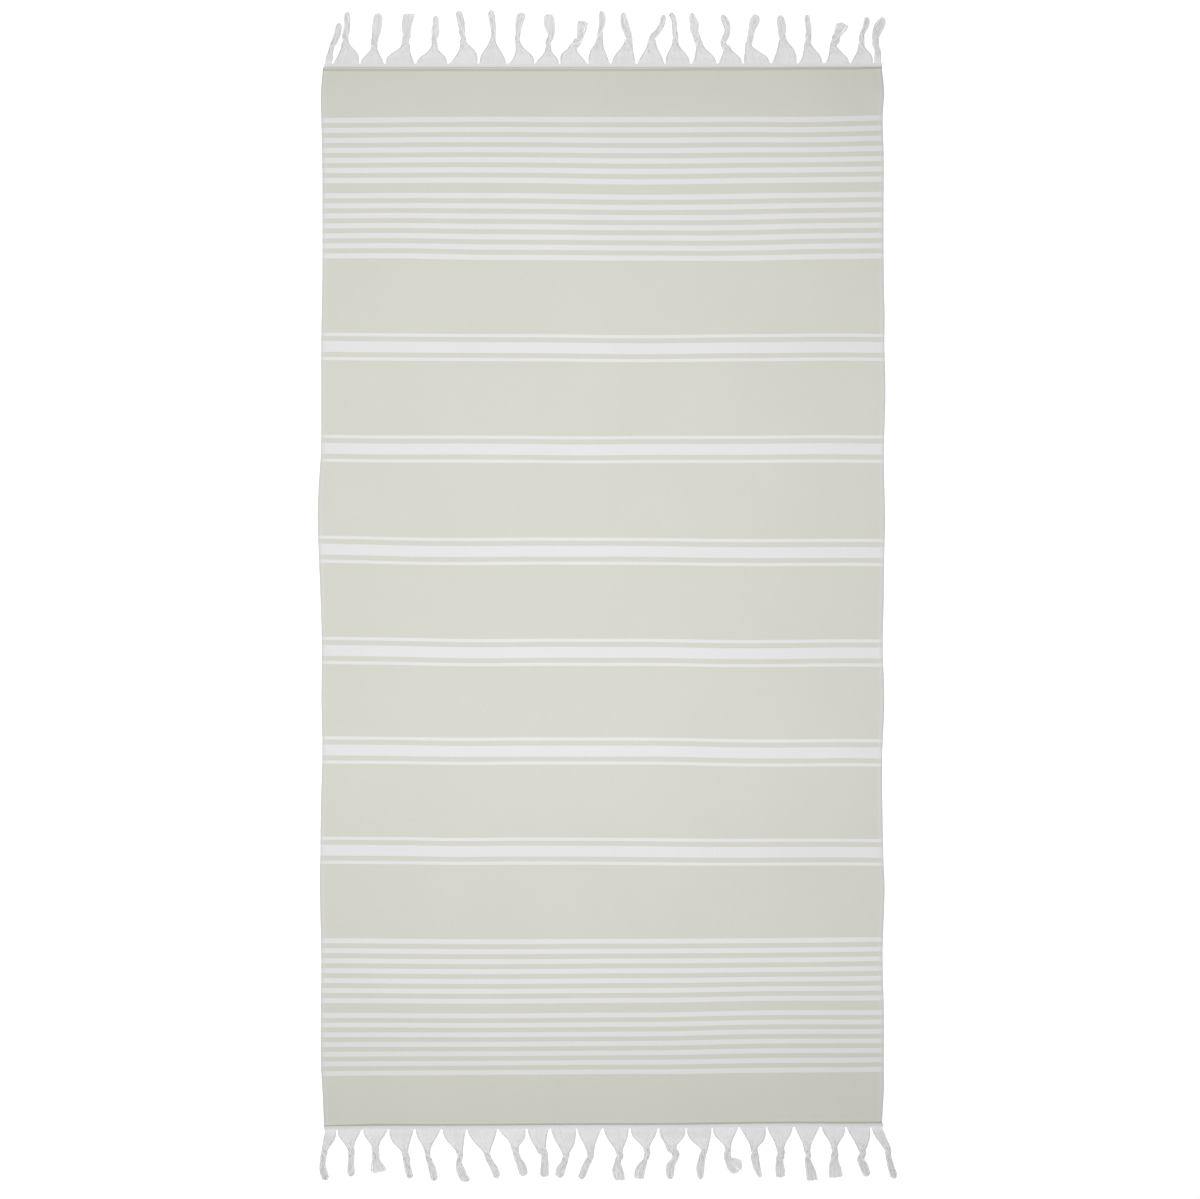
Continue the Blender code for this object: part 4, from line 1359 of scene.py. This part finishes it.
class TowelStageSettings(bpy.types.PropertyGroup):
    """Floor, light and camera"""

    floor_colour: bpy.props.FloatVectorProperty(
        name="Floor", description="Colour of the floor", subtype="COLOR", default=(0.92, 0.92, 0.92)
    )
    floor_glow: bpy.props.FloatProperty(
        name="Glow", description="Light that the floor adds to what it reflects", default=0.45
    )
    sky: bpy.props.FloatProperty(
        name="Sky", description="Strength of the light from all round", default=0.238
    )
    key: bpy.props.FloatProperty(
        name="Key", description="Power of the large light overhead", default=31.7, unit="POWER"
    )
    camera_height: bpy.props.FloatProperty(
        name="Camera", description="Height of the camera above the towel", default=5.0, unit="LENGTH"
    )
    view_width: bpy.props.FloatProperty(
        name="View", description="Width of floor that the picture shows", default=1.9217, unit="LENGTH"
    )


def make_stage(settings):
    """A wide floor, a large soft light overhead, an even sky and the camera that looks straight down."""
    signs = np.array([(-1, -1), (1, -1), (1, 1), (-1, 1)])
    corners = np.column_stack([signs * FLOOR_HALF, np.full(4, -FLOOR_DROP)])
    floor = mesh_piece("floor", corners, [np.arange(4)[None]], {}, floor_material(settings))

    world = bpy.data.worlds.new("studio")
    world.use_nodes = True
    background = world.node_tree.nodes["Background"]
    background.inputs["Color"].default_value = (1.0, 1.0, 1.0, 1.0)
    background.inputs["Strength"].default_value = settings.sky
    bpy.context.scene.world = world

    lamp = bpy.data.lights.new("overhead", "AREA")
    lamp.shape = "RECTANGLE"
    lamp.size, lamp.size_y = LAMP_SIZE
    lamp.energy = settings.key
    light = bpy.data.objects.new("overhead", lamp)
    light.location = LAMP_PLACE
    light.visible_camera = False
    bpy.context.scene.collection.objects.link(light)

    camera = bpy.data.objects.new("camera", bpy.data.cameras.new("camera"))
    camera.data.sensor_width = SENSOR_WIDTH
    camera.data.lens = SENSOR_WIDTH * settings.camera_height / settings.view_width
    place = middle_of_cloth()[:2] + CAMERA_SHIFT
    camera.location = (*place, settings.camera_height)
    bpy.context.scene.collection.objects.link(camera)
    bpy.context.scene.camera = camera
    bpy.context.scene.view_settings.view_transform = "Standard"


class TOWEL_OT_add_cloth(bpy.types.Operator):
    """Add the striped cloth with its selvages and hems"""

    bl_idname = "towel.add_cloth"
    bl_label = "Add cloth"

    def execute(self, context):
        settings = context.scene.towel_cloth
        piece = make_cloth(settings, weave_material(settings))
        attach(piece, "root")
        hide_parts("towel_cloth")
        return {"FINISHED"}


class TOWEL_OT_add_fringes(bpy.types.Operator):
    """Add the strips and tassels at both ends"""

    bl_idname = "towel.add_fringes"
    bl_label = "Add fringes"

    def execute(self, context):
        settings = context.scene.towel_fringe
        material = yarn_material(settings)
        pieces = []
        for fringe in FRINGES:
            rng = np.random.default_rng(fringe.seed)
            count = len(fringe.tassels)
            added = [
                make_strip(fringe, material),
                make_tassels(fringe, range(count // 2), "left", settings, material, rng),
                make_tassels(fringe, range(count // 2, count), "right", settings, material, rng),
            ]
            for piece in added:
                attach(piece, "root")
                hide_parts(fringe.node)
            pieces += added
        return {"FINISHED"}


class TOWEL_OT_add_stage(bpy.types.Operator):
    """Add the floor, the light and the camera"""

    bl_idname = "towel.add_stage"
    bl_label = "Add stage"

    def execute(self, context):
        make_stage(context.scene.towel_stage)
        return {"FINISHED"}


class TOWEL_PT_sidebar(bpy.types.Panel):
    """The towel's sizes and colours, and a button for each group of pieces"""

    bl_label = "Hammam towel"
    bl_space_type = "VIEW_3D"
    bl_region_type = "UI"
    bl_category = "Towel"

    def draw(self, context):
        scene = context.scene
        groups = (
            (scene.towel_cloth, TOWEL_OT_add_cloth),
            (scene.towel_fringe, TOWEL_OT_add_fringes),
            (scene.towel_stage, TOWEL_OT_add_stage),
        )
        for settings, operator in groups:
            box = self.layout.box()
            for name in settings.__annotations__:
                box.prop(settings, name)
            box.operator(operator.bl_idname)


CLASSES = (
    TowelClothSettings,
    TowelFringeSettings,
    TowelStageSettings,
    TOWEL_OT_add_cloth,
    TOWEL_OT_add_fringes,
    TOWEL_OT_add_stage,
    TOWEL_PT_sidebar,
)


def register():
    for cls in CLASSES:
        bpy.utils.register_class(cls)
    bpy.types.Scene.towel_cloth = bpy.props.PointerProperty(type=TowelClothSettings)
    bpy.types.Scene.towel_fringe = bpy.props.PointerProperty(type=TowelFringeSettings)
    bpy.types.Scene.towel_stage = bpy.props.PointerProperty(type=TowelStageSettings)


def unregister():
    del bpy.types.Scene.towel_stage
    del bpy.types.Scene.towel_fringe
    del bpy.types.Scene.towel_cloth
    for cls in reversed(CLASSES):
        bpy.utils.unregister_class(cls)


def main():
    register()
    bpy.ops.towel.add_cloth()
    bpy.ops.towel.add_fringes()
    bpy.ops.towel.add_stage()


if __name__ == "__main__":
    main()
